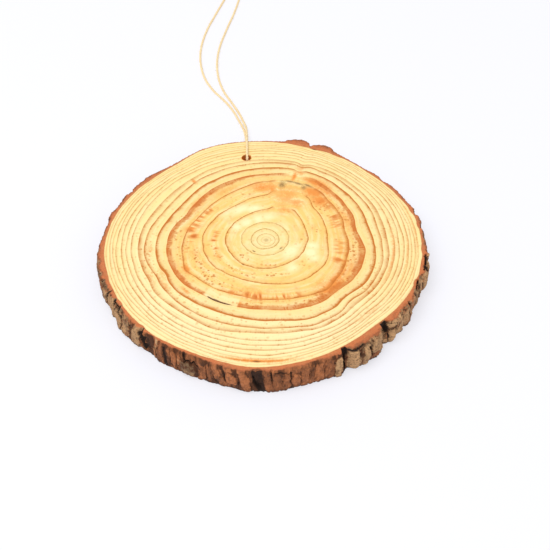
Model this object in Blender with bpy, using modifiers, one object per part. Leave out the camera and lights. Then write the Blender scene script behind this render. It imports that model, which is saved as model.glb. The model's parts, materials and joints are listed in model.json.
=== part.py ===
"""A round slice of a log, sawn across the grain, with its bark, a drilled hole and a loop of thin twine.

The slice lies flat on z = 0, with the hole on its far side (+Y). The origin is under the middle of the
slice. Angles round the slice are counted from the pith, in degrees, from +X towards +Y.
"""

import math
import random

import bmesh
import bpy
from mathutils import Matrix, Vector

MM = 0.001

# The slice
THICKNESS = 9.0 * MM
PITH = Vector((1.0, 1.2, 0.0)) * MM
GAP = 0.3 * MM
WOOD_SIDES = 180

# Radius of the wood from the pith, where it changes its course
WOOD_RADIUS = (
    (0, 46.6), (16, 46.4), (30, 45.6), (46, 45.0), (75, 46.0), (92, 46.2), (114, 47.0), (131, 45.6),
    (150, 46.9), (178, 48.8), (205, 48.8), (240, 48.2), (267, 49.4), (285, 47.6), (300, 46.3), (313, 45.6),
    (332, 46.4), (346, 46.8),
)

# Thickness of the bark outside the wood: hardly any at the back, a broad cut face at the front right
BARK_THICKNESS = (
    (0, 1.6), (18, 1.5), (34, 0.9), (52, 0.9), (60, 1.3), (67, 2.8), (72, 1.9), (77, 2.8), (84, 1.0),
    (110, 0.85), (130, 0.9), (141, 1.4), (153, 0.9), (176, 0.9), (192, 1.5), (212, 1.3), (240, 1.3),
    (253, 0.9), (266, 1.6), (288, 1.7), (299, 3.2), (313, 3.1), (325, 2.7), (340, 1.8), (352, 1.8),
)

# How flaky the bark is, from smooth (0) to broken into thick plates (1)
BARK_ROUGHNESS = (
    (0, 0.80), (30, 0.60), (66, 0.75), (92, 0.25), (130, 0.30), (155, 0.60), (185, 0.80), (200, 1.00),
    (226, 1.00), (240, 0.45), (270, 0.40), (292, 0.55), (306, 1.00), (345, 1.10),
)

BARK_STEPS = 300
BARK_LEVELS = 9
BARK_LEAST = 0.55 * MM
PLATES = 84
PLATE_LIFT = 0.8 * MM
PLATE_EDGE = 0.5 * MM
BARK_SEED = 11
SHARP_ANGLE = math.radians(40.0)

# Deep fissures from face to face: angle, half width in degrees, depth in millimetres, lean in degrees
FISSURES = (
    (195, 1.2, 0.8, 1.5), (209, 1.1, 0.8, -1.0), (229, 1.2, 1.2, 1.0), (268, 2.0, 1.2, 0.8),
    (298, 1.2, 2.0, -1.2), (315, 1.5, 2.2, 1.5), (325, 1.0, 1.2, -1.5), (341, 1.2, 1.2, 1.0),
    (352, 1.0, 0.9, -0.8), (14, 1.2, 0.7, 1.2), (35, 1.0, 0.5, 0.6), (72, 1.3, 0.9, 0.0),
    (140, 1.1, 0.6, 1.0), (171, 1.2, 0.8, -1.2),
)

# Rounded bosses on the bark, and hollows where a flake has come away: angle, half width in degrees,
# height above the base and lift in millimetres
BOSSES = (
    (244.5, 2.2, 4.6, 0.7), (236, 1.8, 6.2, 0.4), (256, 2.4, 5.2, 0.3), (282, 2.6, 4.4, 0.4),
    (305, 2.2, 5.0, 0.6),
    (66, 2.4, 6.0, 0.4), (79, 2.6, 5.5, 0.4), (335, 6.5, 1.2, -1.3), (347, 4.0, 0.8, -1.0),
    (320, 4.0, 0.0, -0.8),
    (203, 3.0, 2.0, -0.6), (221, 3.5, 6.5, 0.5), (259, 4.0, 0.0, -0.7),
)
BOSS_HALF_HEIGHT = 2.2 * MM

# The second saw cut isn't parallel to the first: past this line the underside rises towards the far rim
CREASE_Y = 15.0 * MM
SAW_ANGLE = math.radians(2.6)

# The drilled hole
HOLE = Vector((-5.6, 39.4, 0.0)) * MM
HOLE_RADIUS = 1.5 * MM
HOLE_SIDES = 32

# The twine: its thickness, and its two runs from the middle of the hole to the knot, in millimetres
TWINE_RADIUS = 0.4 * MM
TWINE_STEPS = 3
WELD_DISTANCE = 0.01 * MM
OVER_ROUTE = (
    (-5.35, 38.65, 4.65), (-5.35, 38.65, 6.4), (-5.35, 38.67, 7.9), (-5.36, 39.2, 9.1), (-5.4, 40.5, 9.7),
    (-5.46, 43.0, 9.72), (-5.55, 46.2, 9.75), (-5.65, 48.8, 9.6), (-5.8, 51.0, 8.3), (-5.85, 53.1, 6.1),
    (-5.9, 55.3, 3.8), (-5.95, 57.8, 2.1), (-6.0, 60.3, 1.6), (-6.15, 62.9, 1.5), (-6.45, 65.4, 1.0),
    (-7.15, 68.3, 0.45), (-8.95, 73.6, 0.4), (-11.7, 79.7, 0.4), (-14.8, 86.4, 0.4), (-16.9, 94.0, 0.4),
    (-17.9, 103.5, 0.4), (-17.3, 114.0, 0.4), (-15.0, 126.0, 0.4), (-12.2, 138.5, 0.4), (-10.3, 151.0, 0.4),
    (-10.1, 161.0, 0.4), (-10.7, 168.0, 0.6), (-11.1, 171.9, 1.0),
)
UNDER_ROUTE = (
    (-5.35, 38.65, 4.35), (-5.35, 38.65, 3.2), (-5.35, 38.7, 2.1), (-5.4, 39.25, 0.95), (-5.55, 40.6, 0.42),
    (-5.85, 43.4, 0.4), (-6.05, 48.5, 0.4), (-6.1, 54.0, 0.4), (-6.2, 58.8, 0.4), (-6.75, 62.9, 0.4),
    (-7.8, 66.6, 0.4), (-9.2, 70.2, 0.4), (-10.75, 74.2, 0.4), (-13.0, 78.6, 0.4), (-15.7, 82.8, 0.4),
    (-18.5, 86.8, 0.4), (-21.9, 94.0, 0.4), (-24.0, 103.5, 0.4), (-24.3, 114.0, 0.4), (-22.6, 125.5, 0.4),
    (-19.2, 138.0, 0.4), (-15.6, 150.5, 0.4), (-13.1, 160.5, 0.4), (-12.5, 167.5, 0.6), (-12.5, 171.9, 1.0),
)

# The overhand knot of both runs, and its two tails
KNOT = Vector((-11.8, 174.6, 1.3)) * MM
KNOT_SIZE = Vector((1.95, 2.3, 1.3)) * MM
KNOT_TURNS = 3
KNOT_SLANT = 4.0
KNOT_RIDGE = 0.08
KNOT_SIDES = (24, 14)
TAIL_ROUTES = (
    ((-11.2, 175.6, 1.1), (-10.6, 178.0, 0.7), (-8.9, 181.4, 0.42), (-7.2, 184.6, 0.4), (-6.6, 188.0, 0.4)),
    (
        (-12.3, 175.6, 1.1), (-12.9, 178.2, 0.7), (-13.6, 181.8, 0.42), (-15.2, 185.2, 0.4),
        (-16.0, 188.4, 0.4),
    ),
)


def clear_scene():
    for thing in list(bpy.data.objects):
        bpy.data.objects.remove(thing)


def new_collection(name):
    collection = bpy.data.collections.new(name)
    bpy.context.scene.collection.children.link(collection)
    return collection


def material(name, color, roughness):
    """A plain material of the part's own colour; nothing on the slice is metal."""
    made = bpy.data.materials.new(name)
    made.use_nodes = True
    shader = made.node_tree.nodes["Principled BSDF"]
    shader.inputs["Base Color"].default_value = (*color, 1.0)
    shader.inputs["Roughness"].default_value = roughness
    shader.inputs["Metallic"].default_value = 0.0
    made.diffuse_color = (*color, 1.0)
    return made


def add_object(name, mesh, collection, finish=None):
    made = bpy.data.objects.new(name, mesh)
    if finish:
        mesh.materials.append(finish)
    collection.objects.link(made)
    return made


def evaluated_mesh(thing):
    """The mesh of an object with its modifiers or its bevel applied, in place of the object."""
    graph = bpy.context.evaluated_depsgraph_get()
    mesh = bpy.data.meshes.new_from_object(thing.evaluated_get(graph))
    bpy.data.objects.remove(thing)
    return mesh


def bmesh_to_mesh(name, shape):
    mesh = bpy.data.meshes.new(name)
    shape.to_mesh(mesh)
    shape.free()
    return mesh


def cut_away(target, cutter):
    cut = target.modifiers.new("cut", "BOOLEAN")
    cut.operation = "DIFFERENCE"
    cut.solver = "EXACT"
    cut.object = cutter


def as_cutter(thing):
    thing.hide_render = True
    thing.display_type = "WIRE"
    return thing


def angle_apart(first, second):
    """The signed angle in degrees from the second to the first, the short way round."""
    return (first - second + 180.0) % 360.0 - 180.0


def round_the_rim(points, angle):
    """A value at an angle, on a smooth closed curve through (angle, value) points."""
    count = len(points)
    after = next((i for i, (at, _) in enumerate(points) if at > angle % 360.0), 0)
    around = [points[(after + k) % count] for k in (-2, -1, 0, 1)]
    start = around[1][0]
    spots = [angle_apart(at, start) for at, _ in around]
    values = [value for _, value in around]
    span = spots[2]
    part = angle_apart(angle, start) / span
    leave = (values[2] - values[0]) / (spots[2] - spots[0]) * span
    arrive = (values[3] - values[1]) / (spots[3] - spots[1]) * span
    square, cube = part * part, part * part * part
    return (
        (2 * cube - 3 * square + 1) * values[1]
        + (cube - 2 * square + part) * leave
        + (3 * square - 2 * cube) * values[2]
        + (cube - square) * arrive
    )


def wood_radius(angle):
    return round_the_rim(WOOD_RADIUS, angle) * MM


def seeded_plates():
    """The bark's plates: angle, height, half width in metres, half height in metres and lift."""
    draw = random.Random(BARK_SEED)
    plates = []
    for index in range(PLATES):
        angle = 360.0 * (index + draw.uniform(0.1, 0.9)) / PLATES
        height = THICKNESS * draw.uniform(0.05, 0.95)
        half_width = draw.uniform(1.0, 3.4) * MM
        half_height = draw.uniform(1.4, 4.2) * MM
        lift = PLATE_LIFT * draw.uniform(0.25, 1.0) * round_the_rim(BARK_ROUGHNESS, angle)
        plates.append((angle, height, half_width, half_height, lift))
    return plates


def ramp(value):
    """0 below nothing, 1 above one, and smooth between."""
    value = min(1.0, max(0.0, value))
    return value * value * (3.0 - 2.0 * value)


def bark_relief(angle, height, radius, plates):
    """How far the bark stands out beyond its even thickness: plates and bosses, less the fissures."""
    relief = 0.0
    for at, middle, half_width, half_height, lift in plates:
        aside = abs(math.radians(angle_apart(angle, at))) * radius
        above = abs(height - middle)
        if aside < half_width + PLATE_EDGE and above < half_height + PLATE_EDGE:
            inside = ramp((half_width + PLATE_EDGE - aside) / PLATE_EDGE)
            inside *= ramp((half_height + PLATE_EDGE - above) / PLATE_EDGE)
            relief = max(relief, lift * inside)
    for at, half_width, middle, lift in BOSSES:
        aside = angle_apart(angle, at) / half_width
        above = (height - middle * MM) / BOSS_HALF_HEIGHT
        relief += lift * MM * math.exp(-aside * aside - above * above)
    for at, half_width, depth, lean in FISSURES:
        aside = angle_apart(angle, at + lean * (height / THICKNESS - 0.5)) / half_width
        relief -= depth * MM * math.exp(-aside * aside)
    return relief


def make_wood(collection, finish):
    """A cylinder drawn out to the log's own outline."""
    shape = bmesh.new()
    bmesh.ops.create_cone(
        shape, cap_ends=True, segments=WOOD_SIDES, radius1=1.0, radius2=1.0, depth=THICKNESS,
        matrix=Matrix.Translation((0.0, 0.0, THICKNESS / 2)),
    )
    for vert in shape.verts:
        angle = math.degrees(math.atan2(vert.co.y, vert.co.x))
        radius = wood_radius(angle)
        vert.co.x = PITH.x + vert.co.x * radius
        vert.co.y = PITH.y + vert.co.y * radius
    return add_object("wood", bmesh_to_mesh("wood", shape), collection, finish)


def make_bark(collection, finish):
    """A ring turned from a plain profile, then given the log's outline, its plates and its fissures."""
    inner, outer = 1.0, 2.0
    heights = [THICKNESS * (1.0 - i / (BARK_LEVELS - 1)) for i in range(BARK_LEVELS)]
    profile = [(outer, height) for height in heights] + [(inner, 0.0), (inner, THICKNESS)]
    shape = bmesh.new()
    corners = [shape.verts.new((x, 0.0, z)) for x, z in profile]
    for corner, after in zip(corners, corners[1:] + corners[:1]):
        shape.edges.new((corner, after))
    turned = add_object("bark_profile", bmesh_to_mesh("bark_profile", shape), collection)
    screw = turned.modifiers.new("turn", "SCREW")
    screw.steps = BARK_STEPS
    screw.render_steps = BARK_STEPS
    screw.axis = "Z"
    mesh = evaluated_mesh(turned)
    plates = seeded_plates()
    for vert in mesh.vertices:
        angle = math.degrees(math.atan2(vert.co.y, vert.co.x))
        radius = wood_radius(angle) + GAP
        if math.hypot(vert.co.x, vert.co.y) > (inner + outer) / 2:
            bare = wood_radius(angle) + round_the_rim(BARK_THICKNESS, angle) * MM
            bare += bark_relief(angle, vert.co.z, bare, plates)
            radius = max(radius + BARK_LEAST, bare)
        turn = math.radians(angle)
        vert.co.x = PITH.x + radius * math.cos(turn)
        vert.co.y = PITH.y + radius * math.sin(turn)
    mesh.shade_smooth()
    mesh.set_sharp_from_angle(angle=SHARP_ANGLE)
    return add_object("bark", mesh, collection, finish)


def make_hole_cutter(collection):
    shape = bmesh.new()
    bmesh.ops.create_cone(
        shape, cap_ends=True, segments=HOLE_SIDES, radius1=HOLE_RADIUS, radius2=HOLE_RADIUS,
        depth=3 * THICKNESS,
    )
    cutter = add_object("hole_cutter", bmesh_to_mesh("hole_cutter", shape), collection)
    cutter.location = HOLE + Vector((0.0, 0.0, THICKNESS / 2))
    return as_cutter(cutter)


def make_saw_cutter(collection):
    """A block whose top face is the second saw cut, turned about the line where that cut begins to rise."""
    half_width, reach, depth = 70 * MM, 60 * MM, 10 * MM
    shape = bmesh.new()
    bmesh.ops.create_cube(shape, size=1.0)
    bmesh.ops.scale(shape, vec=(2 * half_width, reach, depth), verts=shape.verts)
    bmesh.ops.translate(shape, vec=(0.0, reach / 2, -depth / 2), verts=shape.verts)
    cutter = add_object("saw_cutter", bmesh_to_mesh("saw_cutter", shape), collection)
    cutter.location = (0.0, CREASE_Y, 0.0)
    cutter.rotation_euler.x = SAW_ANGLE
    return as_cutter(cutter)


def smooth_path(route, steps):
    """Points on a smooth curve through a route's points, with the given steps from each to the next."""
    spots = [Vector(point) * MM for point in route]
    spots = [2 * spots[0] - spots[1], *spots, 2 * spots[-1] - spots[-2]]
    path = []
    for before, start, end, after in zip(spots, spots[1:], spots[2:], spots[3:]):
        reach = [math.sqrt((b - a).length) for a, b in ((before, start), (start, end), (end, after))]
        leave = reach[1] * (
            (start - before) / reach[0] - (end - before) / (reach[0] + reach[1]) + (end - start) / reach[1]
        )
        arrive = reach[1] * (
            (end - start) / reach[1] - (after - start) / (reach[1] + reach[2]) + (after - end) / reach[2]
        )
        for step in range(steps):
            part = step / steps
            square, cube = part * part, part * part * part
            path.append(
                (2 * cube - 3 * square + 1) * start
                + (cube - 2 * square + part) * leave
                + (3 * square - 2 * cube) * end
                + (cube - square) * arrive
            )
    path.append(spots[-2])
    for spot in path:
        spot.z = max(spot.z, TWINE_RADIUS)
    return path


def twine_curve(name, route, collection, finish=None):
    """A round tube along a route, closed at both ends."""
    path = smooth_path(route, TWINE_STEPS)
    curve = bpy.data.curves.new(name, "CURVE")
    curve.dimensions = "3D"
    curve.bevel_depth = TWINE_RADIUS
    curve.bevel_resolution = 2
    curve.use_fill_caps = True
    spline = curve.splines.new("POLY")
    spline.points.add(len(path) - 1)
    for point, spot in zip(spline.points, path):
        point.co = (*spot, 1.0)
    return add_object(name, curve, collection, finish)


def make_knot(collection, cutters, finish):
    """The knot's body, wound round with ridges like its turns, joined to its two tails."""
    shape = bmesh.new()
    bmesh.ops.create_uvsphere(shape, u_segments=KNOT_SIDES[0], v_segments=KNOT_SIDES[1], radius=1.0)
    for vert in shape.verts:
        turn = math.atan2(vert.co.z, vert.co.x)
        ridge = 1.0 + KNOT_RIDGE * math.cos(KNOT_TURNS * turn + KNOT_SLANT * vert.co.y)
        grown = [along * size * ridge for along, size in zip(vert.co, KNOT_SIZE)]
        vert.co = KNOT + Vector(grown)
        vert.co.z = max(vert.co.z, 0.0)
    knot = add_object("twine_knot", bmesh_to_mesh("twine_knot", shape), collection, finish)
    for index, route in enumerate(TAIL_ROUTES):
        curve = twine_curve(f"tail_{index + 1}_curve", route, cutters)
        mesh = evaluated_mesh(curve)
        tail = bmesh.new()
        tail.from_mesh(mesh)
        bmesh.ops.remove_doubles(tail, verts=tail.verts, dist=WELD_DISTANCE)
        tail.to_mesh(mesh)
        tail.free()
        joined = as_cutter(add_object(f"tail_{index + 1}", mesh, cutters))
        union = knot.modifiers.new("tail", "BOOLEAN")
        union.operation = "UNION"
        union.solver = "EXACT"
        union.object = joined
    return knot


def main():
    clear_scene()
    parts = new_collection("log_slice")
    cutters = new_collection("cutters")
    pale_wood = material("wood", (0.72, 0.52, 0.29), 0.6)
    brown_bark = material("bark", (0.16, 0.075, 0.04), 0.85)
    jute = material("twine", (0.62, 0.45, 0.27), 0.9)
    hole_cutter = make_hole_cutter(cutters)
    saw_cutter = make_saw_cutter(cutters)
    wood = make_wood(parts, pale_wood)
    cut_away(wood, hole_cutter)
    cut_away(wood, saw_cutter)
    bark = make_bark(parts, brown_bark)
    cut_away(bark, saw_cutter)
    twine_curve("twine_over", OVER_ROUTE, parts, jute)
    twine_curve("twine_under", UNDER_ROUTE, parts, jute)
    make_knot(parts, cutters, jute)


main()
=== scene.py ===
"""A round slice of a log with its bark, growth rings, a drilled hole and a loop of thin jute twine.

Everything is in metres, in the frame of the solids: the slice lies flat on z = 0, with the hole on its far
side (+Y). Angles are counted round the pith, in degrees, from +X towards +Y. Tables give radii and other
small sizes in millimetres.
"""

import json
import math

import bmesh
import bpy
import numpy as np
from bpy.props import FloatProperty, FloatVectorProperty, IntProperty, PointerProperty
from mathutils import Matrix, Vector
from mathutils.bvhtree import BVHTree

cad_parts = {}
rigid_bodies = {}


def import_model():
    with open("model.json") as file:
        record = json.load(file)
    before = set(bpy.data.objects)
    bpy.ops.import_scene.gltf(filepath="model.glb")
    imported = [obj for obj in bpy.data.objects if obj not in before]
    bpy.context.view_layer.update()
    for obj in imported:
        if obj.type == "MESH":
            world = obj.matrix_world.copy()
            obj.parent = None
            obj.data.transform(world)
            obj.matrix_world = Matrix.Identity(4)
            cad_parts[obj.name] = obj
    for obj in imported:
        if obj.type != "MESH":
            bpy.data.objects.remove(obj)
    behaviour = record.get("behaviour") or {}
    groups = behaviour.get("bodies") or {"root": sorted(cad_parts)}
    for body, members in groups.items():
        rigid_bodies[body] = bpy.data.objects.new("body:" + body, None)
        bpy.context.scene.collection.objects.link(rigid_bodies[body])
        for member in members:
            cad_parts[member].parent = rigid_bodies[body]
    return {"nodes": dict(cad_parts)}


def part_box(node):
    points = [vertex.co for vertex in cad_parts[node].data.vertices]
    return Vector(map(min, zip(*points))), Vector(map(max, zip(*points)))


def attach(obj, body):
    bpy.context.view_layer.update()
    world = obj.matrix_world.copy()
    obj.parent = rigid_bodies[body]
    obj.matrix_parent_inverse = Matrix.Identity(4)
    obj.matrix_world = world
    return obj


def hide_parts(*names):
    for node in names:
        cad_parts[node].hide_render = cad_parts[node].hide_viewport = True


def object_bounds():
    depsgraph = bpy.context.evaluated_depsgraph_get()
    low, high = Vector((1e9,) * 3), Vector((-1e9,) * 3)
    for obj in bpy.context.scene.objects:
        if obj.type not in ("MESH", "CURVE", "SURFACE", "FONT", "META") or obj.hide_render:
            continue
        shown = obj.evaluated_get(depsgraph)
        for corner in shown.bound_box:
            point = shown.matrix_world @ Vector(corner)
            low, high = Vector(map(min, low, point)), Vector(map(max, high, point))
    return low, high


bl_info = {
    "name": "Log slice",
    "version": (1, 0, 0),
    "blender": (4, 5, 0),
    "location": "3D View > Sidebar > Log slice",
    "description": "Builds a slice of a log with its bark, rings and twine loop",
    "category": "Add Mesh",
}

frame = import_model()
SOLID_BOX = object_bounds()

MM = 0.001
BODY = "root"
FLAT = 1e-6

# What the solids give: the thickness, and the second saw cut, which rises past its crease
WOOD_LOW, WOOD_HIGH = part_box("wood")
THICKNESS = WOOD_HIGH.z
_under = [v.co for v in frame["nodes"]["wood"].data.vertices if v.co.z < THICKNESS / 2]
_far = max(_under, key=lambda co: co.y)
CREASE_Y = max(co.y for co in _under if co.z < FLAT)
SAW_RISE = _far.z / (_far.y - CREASE_Y)

PITH = np.array((1.0, 1.2)) * MM
HOLE = np.array((-5.6, 39.4)) * MM
HOLE_RADIUS = 1.5 * MM
# Past this radius in millimetres the solid's upper face has only its rim's vertices
RIM_FROM = 43.0
# The bark's usual radius in millimetres, which turns degrees round the rim into lengths
BARK_REACH = 49.0
# How far out from the pith, in metres, a look inwards at the solids' bark starts
LOOK_FROM = 0.08

# The twine's two runs from the middle of the hole to the knot, and the knot's tails, in millimetres
OVER_ROUTE = (
    (-5.35, 38.65, 4.65), (-5.35, 38.65, 6.4), (-5.35, 38.67, 7.9), (-5.36, 39.2, 9.1), (-5.4, 40.5, 9.7),
    (-5.46, 43.0, 9.72), (-5.55, 46.2, 9.75), (-5.65, 48.8, 9.6), (-5.8, 51.0, 8.3), (-5.85, 53.1, 6.1),
    (-5.9, 55.3, 3.8), (-5.95, 57.8, 2.1), (-6.0, 60.3, 1.6), (-6.15, 62.9, 1.5), (-6.45, 65.4, 1.0),
    (-7.15, 68.3, 0.45), (-8.95, 73.6, 0.4), (-11.7, 79.7, 0.4), (-14.8, 86.4, 0.4), (-16.9, 94.0, 0.4),
    (-17.9, 103.5, 0.4), (-17.3, 114.0, 0.4), (-15.0, 126.0, 0.4), (-12.2, 138.5, 0.4), (-10.3, 151.0, 0.4),
    (-10.1, 161.0, 0.4), (-10.7, 168.0, 0.6), (-11.1, 171.9, 1.0),
)
UNDER_ROUTE = (
    (-5.35, 38.65, 4.35), (-5.35, 38.65, 3.2), (-5.35, 38.7, 2.1), (-5.4, 39.25, 0.95), (-5.55, 40.6, 0.42),
    (-5.85, 43.4, 0.4), (-6.05, 48.5, 0.4), (-6.1, 54.0, 0.4), (-6.2, 58.8, 0.4), (-6.75, 62.9, 0.4),
    (-7.8, 66.6, 0.4), (-9.2, 70.2, 0.4), (-10.75, 74.2, 0.4), (-13.0, 78.6, 0.4), (-15.7, 82.8, 0.4),
    (-18.5, 86.8, 0.4), (-21.9, 94.0, 0.4), (-24.0, 103.5, 0.4), (-24.3, 114.0, 0.4), (-22.6, 125.5, 0.4),
    (-19.2, 138.0, 0.4), (-15.6, 150.5, 0.4), (-13.1, 160.5, 0.4), (-12.5, 167.5, 0.6), (-12.5, 171.9, 1.0),
)
TAIL_ROUTES = (
    ((-11.2, 175.6, 1.1), (-10.6, 178.0, 0.7), (-8.9, 181.4, 0.42), (-7.2, 184.6, 0.4),
     (-6.6, 188.0, 0.4)),
    ((-12.3, 175.6, 1.1), (-12.9, 178.2, 0.7), (-13.6, 181.8, 0.42), (-15.2, 185.2, 0.4),
     (-16.0, 188.4, 0.4)),
)
KNOT = Vector((-11.8, 174.6, 1.3)) * MM
# Stray fibres on the knot
KNOT_HAIRS = 90

# The key lamp's place and width and half the floor's width, in metres, and the even light's colour
KEY_PLACE = Vector((-0.22, -0.20, 0.75))
KEY_SIZE = 0.6
FLOOR_SIZE = 3.0
SKY_COLOUR = (0.97, 0.98, 1.0, 1.0)

# Radius of each ring's dark line at 0, 30, ... 330 degrees, from the third ring out; the first two are round
ROUND_RINGS = (1.5, 2.8)
RING_RADII = (
    (4.0, 4.2, 4.5, 5.0, 4.85, 4.7, 4.55, 4.4, 4.2, 3.8, 3.7, 3.8),
    (6.95, 7.3, 7.65, 7.9, 7.85, 7.7, 7.5, 7.1, 6.8, 6.6, 6.6, 6.65),
    (12.4, 13.4, 15.2, 13.7, 12.6, 12.3, 12.3, 12.0, 12.15, 12.0, 11.8, 12.2),
    (18.6, 19.7, 22.6, 20.4, 18.3, 18.5, 19.2, 19.0, 17.9, 18.0, 19.7, 20.1),
    (24.3, 25.7, 28.0, 26.8, 23.9, 23.2, 25.0, 26.0, 23.9, 24.1, 25.7, 25.3),
    (28.8, 29.2, 31.1, 30.3, 29.0, 27.4, 29.7, 30.0, 28.5, 28.1, 29.9, 30.3),
    (32.2, 32.5, 34.0, 33.4, 32.2, 30.7, 32.9, 33.2, 31.8, 32.0, 33.8, 33.6),
    (34.6, 35.0, 36.2, 35.9, 35.2, 33.8, 36.1, 35.7, 35.4, 35.0, 36.2, 35.7),
    (36.4, 36.8, 37.6, 37.4, 37.1, 36.5, 38.3, 38.1, 37.5, 36.9, 37.5, 37.1),
    (38.4, 38.4, 39.1, 39.1, 39.1, 39.5, 40.5, 40.2, 40.0, 39.4, 39.4, 38.6),
)
# The last rings follow the rim: how far each lies from the last of the table towards it
OUTER_RINGS = (0.18, 0.36, 0.53, 0.65, 0.77, 0.885, 1.0)

# Local bends of the rings: first and last ring, angle, half width in degrees, shift in millimetres
RING_BENDS = (
    (5, 6, 57, 7, 0.7), (6, 6, 84, 3, 1.6), (5, 5, 82, 4, 0.7), (7, 7, 207, 5, 0.7), (8, 8, 157, 6, -0.5),
    (9, 9, 206, 5, -0.8), (10, 11, 206, 5, -0.4), (7, 7, 312, 8, 1.3), (8, 8, 315, 8, -1.0),
    (9, 9, 315, 8, -1.4), (10, 10, 315, 8, -1.3), (11, 11, 315, 9, -0.9), (12, 12, 315, 10, -0.6),
    (9, 12, 71.5, 2.4, -0.9), (8, 8, 62, 4, 0.5), (8, 8, 80, 4, 0.4), (9, 10, 13, 7, -0.4),
    (6, 6, 130, 9, -0.1), (10, 10, 190, 8, 0.4), (6, 6, 45, 6, -0.9), (8, 8, 10, 8, -0.9),
    (8, 8, 352, 7, 0.5), (7, 7, 354, 11, 0.6), (7, 7, 43, 5, -0.5), (5, 5, 2, 8, 0.4), (7, 7, 10, 6, -0.4),
    (7, 7, 329, 9, 0.7), (7, 7, 347, 9, 0.35), (7, 7, 237, 9, 0.6), (7, 7, 262, 14, 0.35),
    (8, 8, 347, 12, 0.5), (9, 9, 343, 18, 0.75), (9, 9, 222, 5, 0.3), (9, 9, 250, 30, 0.3),
    (9, 9, 289, 9, 0.4), (10, 10, 345, 9, 0.7), (10, 10, 18, 14, 0.45), (10, 10, 291, 7, 0.6),
    (11, 11, 346, 16, 0.7), (11, 11, 294, 9, 0.7), (11, 11, 247, 7, 0.8), (11, 11, 215, 8, 0.5),
    (11, 11, 320, 10, 0.2), (12, 12, 340, 24, 0.45), (12, 12, 282, 12, 0.5), (12, 12, 27, 9, 0.4),
)

# Each ring's dark line: how dark, how wide in millimetres, how red
RING_LINES = (
    (0.42, 0.30, 0.0), (0.62, 0.32, 0.0), (0.92, 0.36, 0.0), (0.72, 0.42, 0.0), (1.08, 0.50, 0.1),
    (1.06, 0.48, 0.15), (1.0, 0.70, 0.5), (1.05, 1.2, 0.95), (1.4, 0.95, 0.45), (0.92, 0.78, 0.4),
    (0.76, 1.15, 0.35), (0.66, 0.55, 0.3), (0.66, 0.48, 0.25), (0.74, 0.50, 0.25), (0.62, 0.44, 0.25),
    (0.54, 0.40, 0.2), (0.56, 0.40, 0.2), (0.46, 0.36, 0.2), (0.36, 0.30, 0.5),
)
# Rings whose line changes in width round the pith, in millimetres at 0, 30, ... 330 degrees
WIDE_RINGS = {
    7: (1.15, 1.0, 0.85, 0.6, 0.55, 0.55, 0.6, 0.6, 0.55, 0.7, 1.0, 1.15),
    8: (1.9, 1.5, 1.7, 1.1, 2.0, 1.9, 1.6, 1.8, 1.4, 1.6, 2.4, 2.0),
}
BROAD_RING = 8
# How strong the lines of the outer rings are at 0, 30, ... 330 degrees
OUTER_STRENGTH = (1.05, 0.95, 0.85, 0.85, 0.85, 0.95, 1.1, 1.1, 1.0, 1.0, 1.0, 1.05)

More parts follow.
